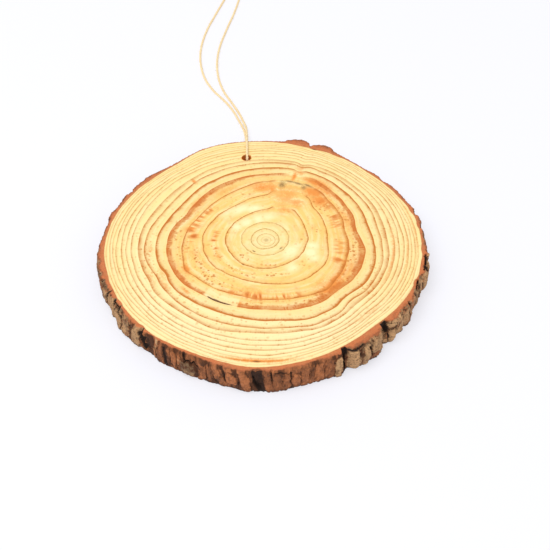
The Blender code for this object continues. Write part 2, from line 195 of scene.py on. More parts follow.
# Marks on the sawn face: angle, radius, half width in degrees, half width outwards, strength
MARKS = {
    "amber": (
        (93, 23.8, 9, 2.3, 0.8), (86, 23.4, 5, 3.0, 0.75), (55.5, 25.9, 8, 2.6, 1.0),
        (47, 24.2, 7, 2.4, 0.95), (58, 30.4, 9, 1.5, 1.05), (50, 28.6, 11, 1.2, 0.7),
        (60, 18.9, 8, 2.2, 0.6), (66.6, 14.6, 9, 1.8, 0.6), (72, 21.0, 12, 6.0, 0.55),
        (73, 30.2, 1.4, 2.4, 0.95), (70.4, 32.4, 2.6, 1.2, 0.6), (72, 34.6, 2.2, 1.2, 0.5),
        (254.2, 27.0, 0.8, 1.3, 0.9), (267.5, 46.75, 12, 0.55, 1.1), (207.7, 26.4, 4.5, 1.0, 1.1),
        (131, 35.2, 0.9, 1.3, 0.9), (315, 27.4, 12, 1.9, 1.0), (322, 26.0, 16, 1.4, 0.85),
        (312, 24.0, 10, 1.6, 0.4), (335, 27.4, 14, 1.4, 0.45), (20, 26.4, 16, 1.6, 0.45),
        (120, 25.5, 14, 1.6, 0.35), (145, 26.0, 10, 1.2, 0.4), (212, 29.0, 10, 1.0, 0.5),
        (205, 33.2, 6, 1.0, 0.4), (205, 37.0, 5, 1.0, 0.4), (262, 21.5, 20, 2.0, 0.25),
        (200, 21.5, 22, 2.2, 0.25), (187, 34.8, 5, 0.8, 0.5), (3, 24.5, 20, 1.6, 0.2),
        (222, 31.0, 4, 0.6, 0.7), (213, 34.5, 4, 0.7, 0.5), (206, 15.6, 4, 0.8, 0.6),
        (338.6, 22.6, 3, 1.2, 0.8), (315, 41.5, 12, 0.8, 0.35), (350, 38.4, 24, 0.5, 0.55),
        (352, 42.6, 20, 0.35, 0.45), (5, 45.4, 22, 0.4, 0.4), (137, 27.3, 13, 0.8, 0.8),
    ),
    # Pale marks: paler wood and painted sheen, the glossy patches, and painted highlights on slivers by the
    # crack
    "pale_and_sheen": (
        (106, 14.6, 12, 1.4, 1.0), (121, 15.8, 13, 1.9, 1.1), (135, 17.0, 8, 1.4, 0.9),
        (147, 10.8, 10, 1.9, 1.1), (128, 9.8, 14, 2.0, 1.1), (104, 9.6, 14, 2.0, 1.0),
        (88, 10.0, 12, 1.8, 0.9), (328, 8.8, 22, 2.2, 1.1), (346, 9.4, 8, 1.6, 0.9),
        (338, 14.2, 9, 2.2, 1.2), (350, 14.0, 7, 2.0, 1.1), (333, 16.4, 6, 1.8, 0.9),
        (304, 14.1, 8, 1.6, 1.0), (0, 2.0, 360, 6.0, 0.55), (235, 41.5, 38, 7.0, 0.85),
        (290, 40.0, 34, 7.0, 0.9), (262, 33.0, 34, 3.0, 0.6), (160, 26.0, 9, 1.2, 0.5),
        (188, 40.0, 24, 6.0, 0.4), (20, 40.0, 40, 6.0, 0.35), (233.0, 28.1, 1.2, 0.4, 1.1),
        (254.2, 27.6, 1.0, 0.35, 1.1), (282, 46.6, 2.2, 0.45, 1.0),
    ),
    "fade": ((71.5, 31.0, 8, 2.4, 1.2), (64, 28.0, 5, 1.0, 0.8), (131, 35.0, 1.0, 0.8, 0.4)),
    "stain": (
        (62, 27.9, 3.5, 0.42, 1.2), (68, 27.5, 3.5, 0.42, 1.2), (74, 27.6, 4.0, 0.40, 1.1),
        (78.6, 25.5, 2.3, 1.5, 1.3), (79.0, 27.3, 2.0, 0.3, 0.8), (63.5, 26.4, 1.8, 1.0, 1.0),
        (0, 0.1, 360, 0.6, 0.75),
    ),
    "dark": (
        (322, 5.75, 9, 0.3, 0.9), (232.8, 5.9, 8, 0.24, 0.75), (237, 12.3, 3.5, 0.24, 0.6),
        (267.2, 46.9, 1.8, 0.45, 0.62), (70.6, 27.7, 1.2, 0.35, 0.45),
    ),
    "speckle": (
        (222, 22.0, 22, 2.4, 1.0), (203, 22.0, 12, 2.0, 0.9), (187, 24.0, 14, 1.0, 0.6),
        (235, 15.3, 26, 1.0, 0.9), (275, 14.8, 18, 0.9, 0.8), (277, 10.2, 14, 0.7, 0.9),
        (225, 9.4, 18, 1.5, 0.8), (196, 15.6, 16, 1.2, 0.8), (175, 27.0, 30, 1.6, 0.6),
        (262, 26.5, 14, 1.6, 0.7), (345, 26.6, 26, 1.6, 0.9), (20, 27.0, 26, 1.5, 0.8),
        (300, 27.5, 20, 1.6, 0.8), (235, 34, 30, 3.5, 0.3), (225, 40, 40, 4.0, 0.12),
        (275, 33, 25, 2.5, 0.3), (40, 23.0, 16, 2.0, 0.7), (330, 34, 30, 2.0, 0.35),
        (190, 36, 20, 2.5, 0.45), (115, 21.2, 16, 1.0, 0.6), (262, 40, 30, 4.0, 0.12),
        (14, 15.6, 10, 1.0, 0.6), (5, 10.2, 14, 1.0, 0.6), (320, 15.0, 6, 0.8, 0.9),
    ),
}
# Short radial dashes inside a ring: angle, radius, half width in degrees, half length, strength
COMBS = (
    (142.4, 21.8, 3, 0.9, 0.8), (147, 21.9, 3, 0.9, 0.7), (153, 22.4, 3, 1.0, 0.7),
    (160, 22.3, 5, 1.5, 1.0), (167.8, 23.2, 3.4, 1.4, 1.2), (175.4, 21.9, 2.6, 1.2, 1.3),
    (182, 22.8, 1.8, 0.7, 0.9), (190.3, 24.4, 1.8, 0.7, 0.9), (167.4, 15.2, 2.0, 1.0, 0.9),
    (173.4, 15.4, 2.2, 0.8, 1.1), (180.5, 15.7, 2.2, 0.8, 1.1), (194, 15.4, 1.8, 0.7, 0.9),
    (199, 15.5, 1.8, 0.7, 1.0), (204.2, 16.4, 1.6, 0.7, 0.8), (257, 23.0, 3, 1.0, 1.1),
    (265, 23.2, 5, 1.2, 1.2), (281, 23.8, 5, 1.1, 1.1), (290, 24.2, 5, 1.0, 0.8), (246, 23.6, 3, 0.8, 0.8),
    (26.6, 23.4, 4, 1.3, 0.8), (21.6, 22.8, 2.4, 1.6, 0.8), (16, 22.4, 4, 1.6, 0.7),
    (11, 21.7, 3, 1.0, 0.5), (358, 22.4, 3, 1.3, 0.6), (352, 22.4, 5, 1.5, 0.7), (347, 22.8, 3, 1.4, 0.6),
    (339, 23.3, 2.5, 1.7, 0.8), (40, 24.4, 8, 1.6, 0.5),
)
# The branch trace, where the rings break off: angle, half width in degrees, from and to radius
TRACE = (71.0, 12.5, 10.5, 30.0)
# The crack in the broad ring, with painted shade inside it: from and to angle, how far inside the ring's
# line, half width, depth
CRACK = (233.0, 254.0, 0.25, 0.36, 0.4)
# The patch torn off beside the crack: from and to angle, from and to radius
TORN = (230.7, 253.4, 24.8, 28.9)

# How grey and flaky the bark is round the rim, from brown (0) to tan plates (1), every 15 degrees
TAN_BARK = (
    0.75, 0.6, 0.45, 0.3, 0.25, 0.2, 0.2, 0.2, 0.25, 0.35, 0.5, 0.65,
    0.6, 0.85, 0.9, 0.5, 0.15, 0.05, 0.05, 0.1, 0.75, 1.0, 0.9, 0.85,
)
# How much of the bark's sawn edge has crumbled away round the rim, every 15 degrees
CRUMBLE = (
    0.3, 0.2, 0.1, 0.06, 0.06, 0.06, 0.06, 0.06, 0.06, 0.06, 0.06, 0.08,
    0.15, 0.25, 0.3, 0.4, 0.5, 0.35, 0.25, 0.3, 0.15, 0.22, 0.4, 0.45,
)
# Lobes and plates of the bark: angle, height, half width in degrees, half height, lean in degrees for each
# millimetre upwards, lift, tone from dark to light, share of tan
LOBES = (
    (197.0, 4.5, 1.9, 4.8, 0.1, 0.25, 0.5, 0.4), (202.2, 4.3, 1.5, 4.6, 0.1, 0.3, 0.6, 0.6),
    (207.3, 4.3, 1.6, 4.6, 0.15, 0.35, 0.75, 0.8), (212.4, 4.2, 1.9, 4.6, 0.2, 0.35, 0.6, 0.85),
    (217.4, 5.4, 2.1, 4.0, 0.2, 0.35, 0.5, 0.6), (223.0, 4.8, 2.0, 4.9, 0.2, 0.45, 0.6, 0.7),
    (229.0, 4.5, 1.1, 8.0, 0.1, 0.02, 0.05, 0.0), (231.5, 4.5, 0.6, 5.2, 0.2, 0.15, 0.9, 0.5),
    (233.6, 4.5, 1.0, 5.0, 0.15, 0.15, 0.45, 0.1), (239.3, 5.2, 1.2, 4.0, -0.15, 0.25, 0.75, 0.0),
    (241.4, 6.6, 0.8, 2.4, 0.0, 0.15, 0.8, 0.4), (244.6, 3.7, 2.5, 3.1, 0.0, 0.5, 0.2, 0.55),
    (249.8, 3.8, 1.2, 4.6, 0.3, 0.2, 0.7, 0.05), (252.3, 3.6, 1.1, 4.4, 0.1, 0.12, 0.45, 0.0),
    (254.4, 6.2, 1.2, 2.7, -0.1, 0.3, 0.8, 0.0), (256.3, 2.2, 1.4, 2.2, 0.0, 0.15, 0.55, 0.0),
    (259.7, 5.0, 1.8, 2.2, 0.0, 0.4, 0.98, 0.1), (263.7, 5.2, 1.5, 4.6, -0.3, 0.35, 0.8, 0.0),
    (270.9, 4.4, 0.9, 4.6, -0.1, 0.2, 0.65, 0.0), (273.7, 3.8, 1.5, 3.9, 0.0, 0.18, 0.5, 0.05),
    (276.7, 3.6, 1.3, 3.6, 0.1, 0.2, 0.6, 0.0), (279.8, 4.6, 1.4, 2.5, 0.0, 0.32, 0.8, 0.0),
    (282.8, 4.4, 1.2, 4.6, 0.0, 0.22, 0.7, 0.1), (285.3, 4.4, 1.0, 4.8, 0.1, 0.15, 0.55, 0.0),
    (287.9, 4.4, 1.3, 4.6, 0.0, 0.2, 0.8, 0.05), (291.2, 4.6, 1.6, 4.6, 0.0, 0.2, 0.6, 0.2),
    (294.5, 4.0, 1.2, 3.9, 0.0, 0.4, 0.85, 0.85), (300.3, 4.8, 2.0, 4.3, -0.1, 0.45, 0.98, 0.85),
    (304.7, 4.4, 1.6, 4.3, 0.0, 0.35, 0.75, 0.8), (310.0, 5.4, 2.9, 2.5, 0.0, 0.4, 0.65, 0.85),
    (308.2, 1.5, 2.3, 1.5, 0.0, 0.15, 0.45, 0.2), (318.2, 3.2, 1.3, 3.3, 0.0, 0.5, 0.75, 0.8),
    (322.6, 3.9, 1.5, 3.9, 0.0, 0.2, 0.8, 0.9), (326.6, 5.2, 1.3, 3.6, 0.0, 0.1, 0.7, 0.6),
    (331.4, 5.6, 1.3, 3.4, 0.0, 0.1, 0.9, 0.5), (335.3, 4.6, 1.2, 4.6, 0.0, 0.1, 0.5, 0.7),
    (340.4, 4.4, 1.6, 4.6, 0.0, 0.15, 0.65, 0.8), (344.1, 4.6, 1.3, 4.6, 0.0, 0.4, 0.65, 0.9),
    (349.5, 5.0, 0.9, 4.2, 0.0, 0.45, 0.5, 0.8), (356.5, 4.6, 2.0, 4.6, 0.0, 0.25, 0.6, 0.3),
    (65.2, 4.5, 3.2, 4.6, 0.0, 0.6, 0.7, 0.1), (80.2, 4.5, 3.4, 4.5, 0.0, 0.6, 0.6, 0.1),
    (268.0, 0.6, 1.7, 1.9, 0.0, 0.35, 0.25, 0.0), (141.5, 4.5, 3.4, 4.6, 0.0, 0.4, 0.6, 0.1),
    (155.5, 4.5, 3.2, 4.6, 0.0, 0.7, 0.65, 0.2), (166.5, 4.5, 3.4, 4.6, 0.0, 0.6, 0.6, 0.3),
    (187.5, 4.5, 3.2, 4.7, 0.0, 0.4, 0.6, 0.4),
)
# Slots down the bark, dark with painted shade: depth, darkness of the painted shade, then angle, height and
# half width in millimetres along each
SLOTS = (
    (0.6, 0.72, ((267.3, 9.2, 1.35), (267.6, 6.0, 1.35), (268.3, 3.5, 1.15), (269.2, -0.2, 0.9))),
    (1.1, 1.0, ((265.9, 7.2, 0.14), (266.5, 4.6, 0.3), (267.8, 2.2, 0.42), (268.9, 0.0, 0.3))),
    (0.7, 0.95, ((243.6, 6.7, 0.12), (244.8, 7.7, 0.28), (247.0, 7.6, 0.3), (248.3, 6.2, 0.14))),
    (0.5, 0.8, ((242.8, 9.2, 0.3), (243.3, 7.2, 0.25))),
    (0.5, 0.8, ((271.9, 9.2, 0.22), (272.0, 6.6, 0.12))),
    (0.4, 0.7, ((277.9, 8.4, 0.16), (278.1, 3.4, 0.1))),
    (0.3, 0.6, ((273.0, 8.6, 0.3), (277.4, 8.2, 0.25))),
    (0.4, 0.7, ((261.6, 8.4, 0.14), (262.1, 5.4, 0.12), (261.7, 2.8, 0.1))),
    (0.4, 0.65, ((256.0, 9.2, 0.35), (257.2, 6.2, 0.4), (257.8, 3.0, 0.3))),
    (0.3, 0.6, ((251.0, 8.0, 0.1), (250.9, 1.2, 0.12))),
    (0.3, 0.6, ((253.2, 4.6, 0.1), (254.2, 1.6, 0.18), (255.2, 0.4, 0.2))),
    (1.2, 1.0, ((225.4, 9.2, 0.55), (226.6, 7.4, 0.9), (226.4, 5.6, 0.6), (227.0, 3.6, 0.8),
                (226.5, 1.4, 0.4))),
    (0.35, 0.5, ((228.0, 8.6, 0.5), (228.5, 3.0, 0.6))),
    (0.5, 0.75, ((235.7, 8.2, 0.42), (235.9, 0.8, 0.5))),
    (0.3, 0.6, ((237.9, 8.6, 0.1), (238.2, 4.0, 0.16), (238.8, 0.4, 0.14))),
    (0.3, 0.6, ((240.6, 8.4, 0.12), (240.3, 3.4, 0.14), (240.6, 0.2, 0.14))),
    (1.0, 1.0, ((200.6, 8.2, 0.34), (200.3, 5.0, 0.46))),
    (1.2, 1.0, ((205.0, 8.8, 0.4), (204.4, 5.5, 0.54), (204.5, 2.4, 0.4))),
    (1.1, 1.0, ((209.2, 9.0, 0.36), (211.1, 6.2, 0.46))),
    (1.1, 1.0, ((212.8, 9.0, 0.34), (214.6, 6.2, 0.5))),
    (0.6, 0.9, ((197.2, 5.6, 0.2), (197.6, 2.6, 0.24))),
    (0.6, 0.9, ((208.6, 3.6, 0.2), (209.4, 0.8, 0.24))),
    (0.5, 0.85, ((216.0, 8.2, 0.2), (216.8, 5.6, 0.16))),
    (0.5, 0.85, ((230.8, 8.4, 0.16), (231.6, 2.0, 0.2))),
    (0.5, 0.8, ((219.6, 8.0, 0.14), (220.3, 2.0, 0.14))),
    (0.5, 0.8, ((195.0, 8.8, 0.16), (194.4, 4.4, 0.2), (194.8, 0.8, 0.14))),
    (1.7, 1.0, ((297.0, 9.2, 0.85), (297.1, 7.2, 0.8), (296.5, 5.6, 0.45), (296.9, 3.4, 0.42),
                (297.1, 1.6, 0.6), (296.8, -0.2, 0.4))),
    (0.6, 0.95, ((298.4, 8.9, 0.3), (301.6, 8.8, 0.22), (303.6, 8.9, 0.14))),
    (0.25, 0.6, ((302.7, 7.8, 0.09), (301.8, 5.6, 0.08), (302.7, 3.0, 0.09))),
    (0.8, 1.0, ((305.8, 7.4, 0.2), (306.6, 6.0, 0.3))),
    (0.4, 0.8, ((306.8, 5.4, 0.12), (307.2, 2.6, 0.12))),
    (1.9, 1.0, ((315.0, 9.3, 1.2), (315.4, 7.6, 0.95), (316.2, 5.4, 0.45))),
    (0.5, 0.9, ((316.4, 8.6, 0.24), (316.7, 6.0, 0.16), (316.3, 1.0, 0.12))),
    (0.8, 1.0, ((318.9, 7.4, 0.2), (318.8, 4.4, 0.14))),
    (0.4, 0.8, ((320.6, 7.0, 0.14), (320.4, 1.0, 0.14))),
    (0.4, 0.75, ((324.6, 7.4, 0.12), (325.0, 1.6, 0.12))),
    (0.6, 0.95, ((328.6, 9.0, 0.2), (328.4, 5.2, 0.16), (328.8, 1.6, 0.12))),
    (0.8, 1.0, ((337.8, 9.2, 0.35), (337.4, 4.6, 0.26), (337.6, 1.0, 0.16))),
    (0.6, 0.9, ((333.4, 8.6, 0.14), (333.2, 3.4, 0.14))),
    (0.9, 1.0, ((346.8, 9.2, 0.5), (347.2, 3.0, 0.32))),
    (0.8, 1.0, ((351.8, 9.2, 0.4), (351.5, 4.0, 0.26))),
    (0.7, 0.9, ((72.0, 9.2, 0.5), (72.2, 0.0, 0.4))),
)
# Slots in the bark's sawn edge, dark with painted shade: darkness of the painted shade, then angle, radius
# and half width in millimetres along each
EDGE_SLOTS = (
    (1.0, ((316.5, 47.1, 0.2), (315.7, 48.1, 0.75), (315.4, 50.2, 1.2))),
    (1.0, ((312.4, 48.2, 0.16), (315.0, 48.6, 0.4), (317.9, 47.9, 0.16))),
    (1.0, ((316.9, 46.6, 0.1), (315.7, 48.0, 0.35))),
    (1.0, ((297.4, 48.2, 0.4), (296.9, 50.2, 0.9))),
    (0.9, ((298.6, 49.0, 0.3), (303.6, 49.1, 0.14))),
    (1.0, ((345.0, 48.1, 0.16), (349.2, 48.1, 0.32), (352.8, 47.9, 0.2))),
    (1.0, ((335.8, 47.7, 0.14), (339.4, 47.2, 0.26))),
    (0.8, ((328.4, 48.6, 0.25), (328.7, 47.8, 0.14))),
    (1.0, ((225.2, 49.4, 0.2), (225.6, 50.4, 0.45))),
    (0.8, ((204.9, 49.9, 0.14), (204.9, 50.8, 0.25))),
    (0.8, ((209.6, 49.5, 0.12), (212.6, 49.4, 0.2))),
    (0.9, ((267.3, 50.4, 0.6), (267.4, 51.2, 1.1))),
    (0.7, ((243.0, 49.6, 0.2), (243.0, 50.4, 0.3))),
    (0.7, ((72.0, 47.2, 0.14), (72.0, 49.0, 0.5))),
    (0.8, ((16.9, 47.6, 0.1), (16.6, 48.3, 0.25))),
    (0.7, ((23.9, 46.9, 0.1), (23.6, 47.6, 0.25))),
    (0.8, ((355.0, 48.0, 0.14), (354.4, 48.8, 0.3))),
    (0.7, ((4.0, 47.9, 0.1), (3.6, 48.6, 0.25))),
)
# How far the edge between wood and bark lies outside the solids' own, in millimetres, every 12 degrees
EDGE_SHIFT = (
    0.35, 0.45, 0.0, 0.0, 0.0, 0.05, -0.5, 0.1, 0.3, 0.35, 0.3, -0.05, -0.25, -0.3, -0.4, -0.45, -0.3,
    -0.25, 0.05, 0.5, 0.15, -0.5, -0.4, -0.15, 0.3, 0.2, 0.3, 0.4, 0.3, 0.3,
)
# Small steps of the wood's edge: angle, half width in degrees, shift in millimetres
RIM_STEPS = (
    (211.5, 1.1, -0.35), (225.0, 1.0, -0.4), (355.5, 2.0, -0.3), (338.6, 1.4, -0.4), (70.0, 1.5, -0.3),
    (348.0, 3.0, -0.2), (8.0, 1.5, -0.3), (16.0, 1.5, -0.25), (196.0, 3.0, -0.15), (60.0, 2.0, -0.25),
    (84.0, 1.5, -0.2),
)


def smooth_step(value):
    value = np.clip(value, 0.0, 1.0)
    return value * value * (3.0 - 2.0 * value)


def angle_apart(first, second):
    """The signed angle from the second to the first, the short way round, in degrees."""
    return (np.asarray(first) - second + 180.0) % 360.0 - 180.0


def cubic(part, start, leave, end, arrive):
    """The curve from start to end that leaves and arrives with the given slopes, at a part of the way."""
    square, cube = part**2, part**3
    return (
        (2 * cube - 3 * square + 1) * start + (cube - 2 * square + part) * leave
        + (3 * square - 2 * cube) * end + (cube - square) * arrive
    )


def round_the_rim(values, angle):
    """A smooth closed curve through evenly spaced values, read at angles in degrees."""
    values = np.asarray(values, float)
    spot = np.asarray(angle) % 360.0 / 360.0 * len(values)
    index = np.floor(spot).astype(int)
    part = spot - index
    before, start, end, after = (values[(index + k) % len(values)] for k in (-1, 0, 1, 2))
    return cubic(part, start, (end - before) / 2, end, (after - start) / 2)


def wavy(across, along, cells, seed):
    """Smooth noise from -1 to 1 on a lattice of cells that closes on itself in the first direction."""
    table = np.random.RandomState(seed).uniform(-1.0, 1.0, (cells, 64))
    column, row = np.floor(across).astype(int), np.floor(along).astype(int)
    side, up = smooth_step(across - column), smooth_step(along - row)
    corner = {(i, j): table[(column + i) % cells, (row + j) % 64] for i in (0, 1) for j in (0, 1)}
    low = corner[0, 0] * (1 - side) + corner[1, 0] * side
    high = corner[0, 1] * (1 - side) + corner[1, 1] * side
    return low * (1 - up) + high * up


def smooth_path(route, steps):
    """Points on a smooth curve through a route's points, with the given steps from each to the next."""
    spots = [Vector(point) * MM for point in route]
    spots = [2 * spots[0] - spots[1], *spots, 2 * spots[-1] - spots[-2]]
    path = []
    for before, start, end, after in zip(spots, spots[1:], spots[2:], spots[3:]):
        reach = [math.sqrt((b - a).length) for a, b in ((before, start), (start, end), (end, after))]
        leave = reach[1] * (
            (start - before) / reach[0] - (end - before) / (reach[0] + reach[1]) + (end - start) / reach[1]
        )
        arrive = reach[1] * (
            (end - start) / reach[1] - (after - start) / (reach[1] + reach[2]) + (after - end) / reach[2]
        )
        path += [cubic(step / steps, start, leave, end, arrive) for step in range(steps)]
    path.append(spots[-2])
    return path


def path_length(path):
    return sum((b - a).length for a, b in zip(path, path[1:]))


# Shader maths

class Value:
    """A shader socket that Python's operators work on, each adding a Math node."""

    def __init__(self, finish, socket):
        self.finish = finish
        self.socket = socket

    def math(self, operation, *others):
        return self.finish.node("ShaderNodeMath", {"operation": operation}, (self, *others))

    def __add__(self, other):
        return self.math("ADD", other)

    __radd__ = __add__

    def __sub__(self, other):
        return self.math("SUBTRACT", other)

    def __rsub__(self, other):
        return self.finish.node("ShaderNodeMath", {"operation": "SUBTRACT"}, (other, self))

    def __mul__(self, other):
        return self.math("MULTIPLY", other)

    __rmul__ = __mul__

    def __truediv__(self, other):
        return self.math("DIVIDE", other)

    def __rtruediv__(self, other):
        return self.finish.node("ShaderNodeMath", {"operation": "DIVIDE"}, (other, self))

    def clamped(self):
        made = self.math("ADD", 0.0)
        made.socket.node.use_clamp = True
        return made


class Finish:
    """A material with a Principled shader, built from Python expressions."""

    def __init__(self, name):
        self.material = bpy.data.materials.new(name)
        self.material.use_nodes = True
        self.tree = self.material.node_tree
        self.shader = self.tree.nodes["Principled BSDF"]

    def connect(self, socket, value):
        if isinstance(value, Value):
            self.tree.links.new(value.socket, socket)
        elif hasattr(socket.default_value, "__len__") and len(socket.default_value) == 4:
            socket.default_value = (*tuple(value)[:3], 1.0)
        else:
            socket.default_value = value

    def node(self, kind, settings=None, inputs=(), output=0):
        """Adds a node, sets it up, fills or links its sockets, and returns one of its outputs."""
        made = self.tree.nodes.new(kind)
        for name, value in (settings or {}).items():
            setattr(made, name, value)
        pairs = inputs.items() if isinstance(inputs, dict) else enumerate(inputs)
        for key, value in pairs:
            self.connect(made.inputs[key], value)
        return Value(self, made.outputs[output])

    def set(self, **values):
        for name, value in values.items():
            self.connect(self.shader.inputs[name.replace("_", " ")], value)

    def place(self):
        return self.node("ShaderNodeTexCoord", output="Object")

    def attribute(self, name, output="Fac"):
        return self.node("ShaderNodeAttribute", {"attribute_name": name}, output=output)

    def vector(self, operation, *inputs):
        return self.node("ShaderNodeVectorMath", {"operation": operation}, inputs)

    def scaled(self, vector, sizes):
        return self.vector("MULTIPLY", vector, sizes)

    def split(self, vector):
        made = self.node("ShaderNodeSeparateXYZ", inputs=(vector,))
        return [Value(self, out) for out in made.socket.node.outputs]

    def joined(self, x, y, z):
        return self.node("ShaderNodeCombineXYZ", inputs=(x, y, z))

    def noise(self, vector, scale, detail=2.0, roughness=0.5):
        inputs = {"Vector": vector, "Scale": scale, "Detail": detail, "Roughness": roughness}
        return self.node("ShaderNodeTexNoise", inputs=inputs)

    def ray_noise(self, spoke, level, fine, long, detail=2.0, roughness=0.5):
        """Noise by the direction from the pith and a level: fine round the slice, long along the level."""
        x, y = spoke
        return self.noise(self.joined(x * fine, y * fine, level * long), 1.0, detail, roughness)

    def cells(self, vector, scale, output="Distance", feature="F1", flat=False):
        settings = {"feature": feature, "voronoi_dimensions": "2D" if flat else "3D"}
        return self.node("ShaderNodeTexVoronoi", settings, {"Vector": vector, "Scale": scale}, output)

    def step(self, value, low, high):
        """0 at the low value, 1 at the high one, and smooth between."""
        settings = {"interpolation_type": "SMOOTHSTEP"}
        return self.node("ShaderNodeMapRange", settings, {"Value": value, "From Min": low, "From Max": high})

    def mix(self, first, second, share):
        settings = {"data_type": "RGBA", "clamp_factor": True}
        return self.node("ShaderNodeMix", settings, {0: share, 6: first, 7: second}, output=2)

    def bump(self, height, strength, distance):
        inputs = {"Height": height, "Strength": strength, "Distance": distance}
        return self.node("ShaderNodeBump", inputs=inputs)


# Growth rings

def rim_radii(angle):
    """The wood's edge round the pith, read from the solid's upper outline, in millimetres."""
    spots = np.array([v.co.xy for v in frame["nodes"]["wood"].data.vertices if v.co.z > THICKNESS - FLAT])
    spots = (spots - PITH) / MM
    reach = np.hypot(spots[:, 0], spots[:, 1])
    spots, reach = spots[reach > RIM_FROM], reach[reach > RIM_FROM]
    turn = np.degrees(np.arctan2(spots[:, 1], spots[:, 0])) % 360.0
    order = np.argsort(turn)
    return np.interp(np.asarray(angle) % 360.0, turn[order], reach[order], period=360.0)


def wood_edge(angle):
    """The ragged edge between wood and bark, close to the solid's outline, in millimetres."""
    edge, still = rim_radii(angle) + round_the_rim(EDGE_SHIFT, angle), np.zeros(len(angle))
    for at, half_width, shift in RIM_STEPS:
        edge = edge + shift * np.exp(-((angle_apart(angle, at) / half_width) ** 4))
    return edge - 0.12 - 0.08 * wavy(angle / 3.0, still, 120, 61) - 0.05 * wavy(angle / 1.2, still, 300, 62)


def ring_radii(angle):
    """The radius of every ring's dark line at each angle, from the pith out, in millimetres."""
    rings = [np.full(len(angle), radius) for radius in ROUND_RINGS]
    rings += [round_the_rim(values, angle) for values in RING_RADII]
    for first, last, at, half_width, shift in RING_BENDS:
        bend = shift * np.exp(-((angle_apart(angle, at) / half_width) ** 2))
        for index in range(first - 1, min(last, len(rings))):
            rings[index] = rings[index] + bend
    rim, last = rim_radii(angle), rings[-1]
    rings += [last + (rim - last) * share for share in OUTER_RINGS]
    wave = np.array([wavy(angle / 7.5, np.full(len(angle), 3.0 * k), 48, 5) for k in range(len(rings))])
    fine = np.array([wavy(angle / 2.5, np.full(len(angle), 3.0 * k), 144, 6) for k in range(len(rings))])
    sway = np.minimum(1.0, np.arange(len(rings)) / 5.0)[:, None] * (0.16 * wave + 0.05 * fine)
    made = np.array(rings) + sway
    made[-1] = wood_edge(angle)
    return made


def in_mark(angle, radius, mark):
    at, middle, half_width, half_reach, strength = mark
    aside = angle_apart(angle, at) / half_width
    outwards = (radius - middle) / half_reach
    return strength * np.exp(-(aside**2) - outwards**2)


def in_trace(angle, radius):
    """1 inside the branch trace, 0 outside, with a ragged edge."""
    at, half_width, start, end = TRACE
    ragged = 1.5 * wavy(radius * 1.2, radius * 0.0, 64, 21)
    taper = half_width * (0.55 + 0.45 * smooth_step((radius - start) / 8.0))
    aside = np.abs(angle_apart(angle, at)) + ragged
    side = smooth_step((taper + 2.0 - aside) / 4.0)
    return side * smooth_step((radius - start + 1.0) / 2.5) * smooth_step((end - radius) / 1.6)


def crack_depth(angle, radius):
    """How deep the crack along a ring is at each spot, in millimetres."""
    start, end, aside, half_width, depth = CRACK
    share = (np.asarray(angle) - start) / (end - start)
    middle = ring_radii(angle)[BROAD_RING - 1] - aside
    part = share.clip(0.0, 1.0)
    # 1 a third of the way along, where the crack is deepest, and 0 at both ends
    inside = 3.8 * part**0.7 * (1.0 - part) ** 1.4
    aside = np.abs(radius - middle) / (half_width * (0.35 + inside))
    return depth * inside * smooth_step(1.5 * (1.0 - aside))


def torn_patch(angle, radius):
    start, end, low, high = TORN
    side = smooth_step((angle - start) / 1.0) * smooth_step((end - angle) / 0.5)
    return side * smooth_step((radius - low) / 0.5) * smooth_step((high - radius) / 0.5)


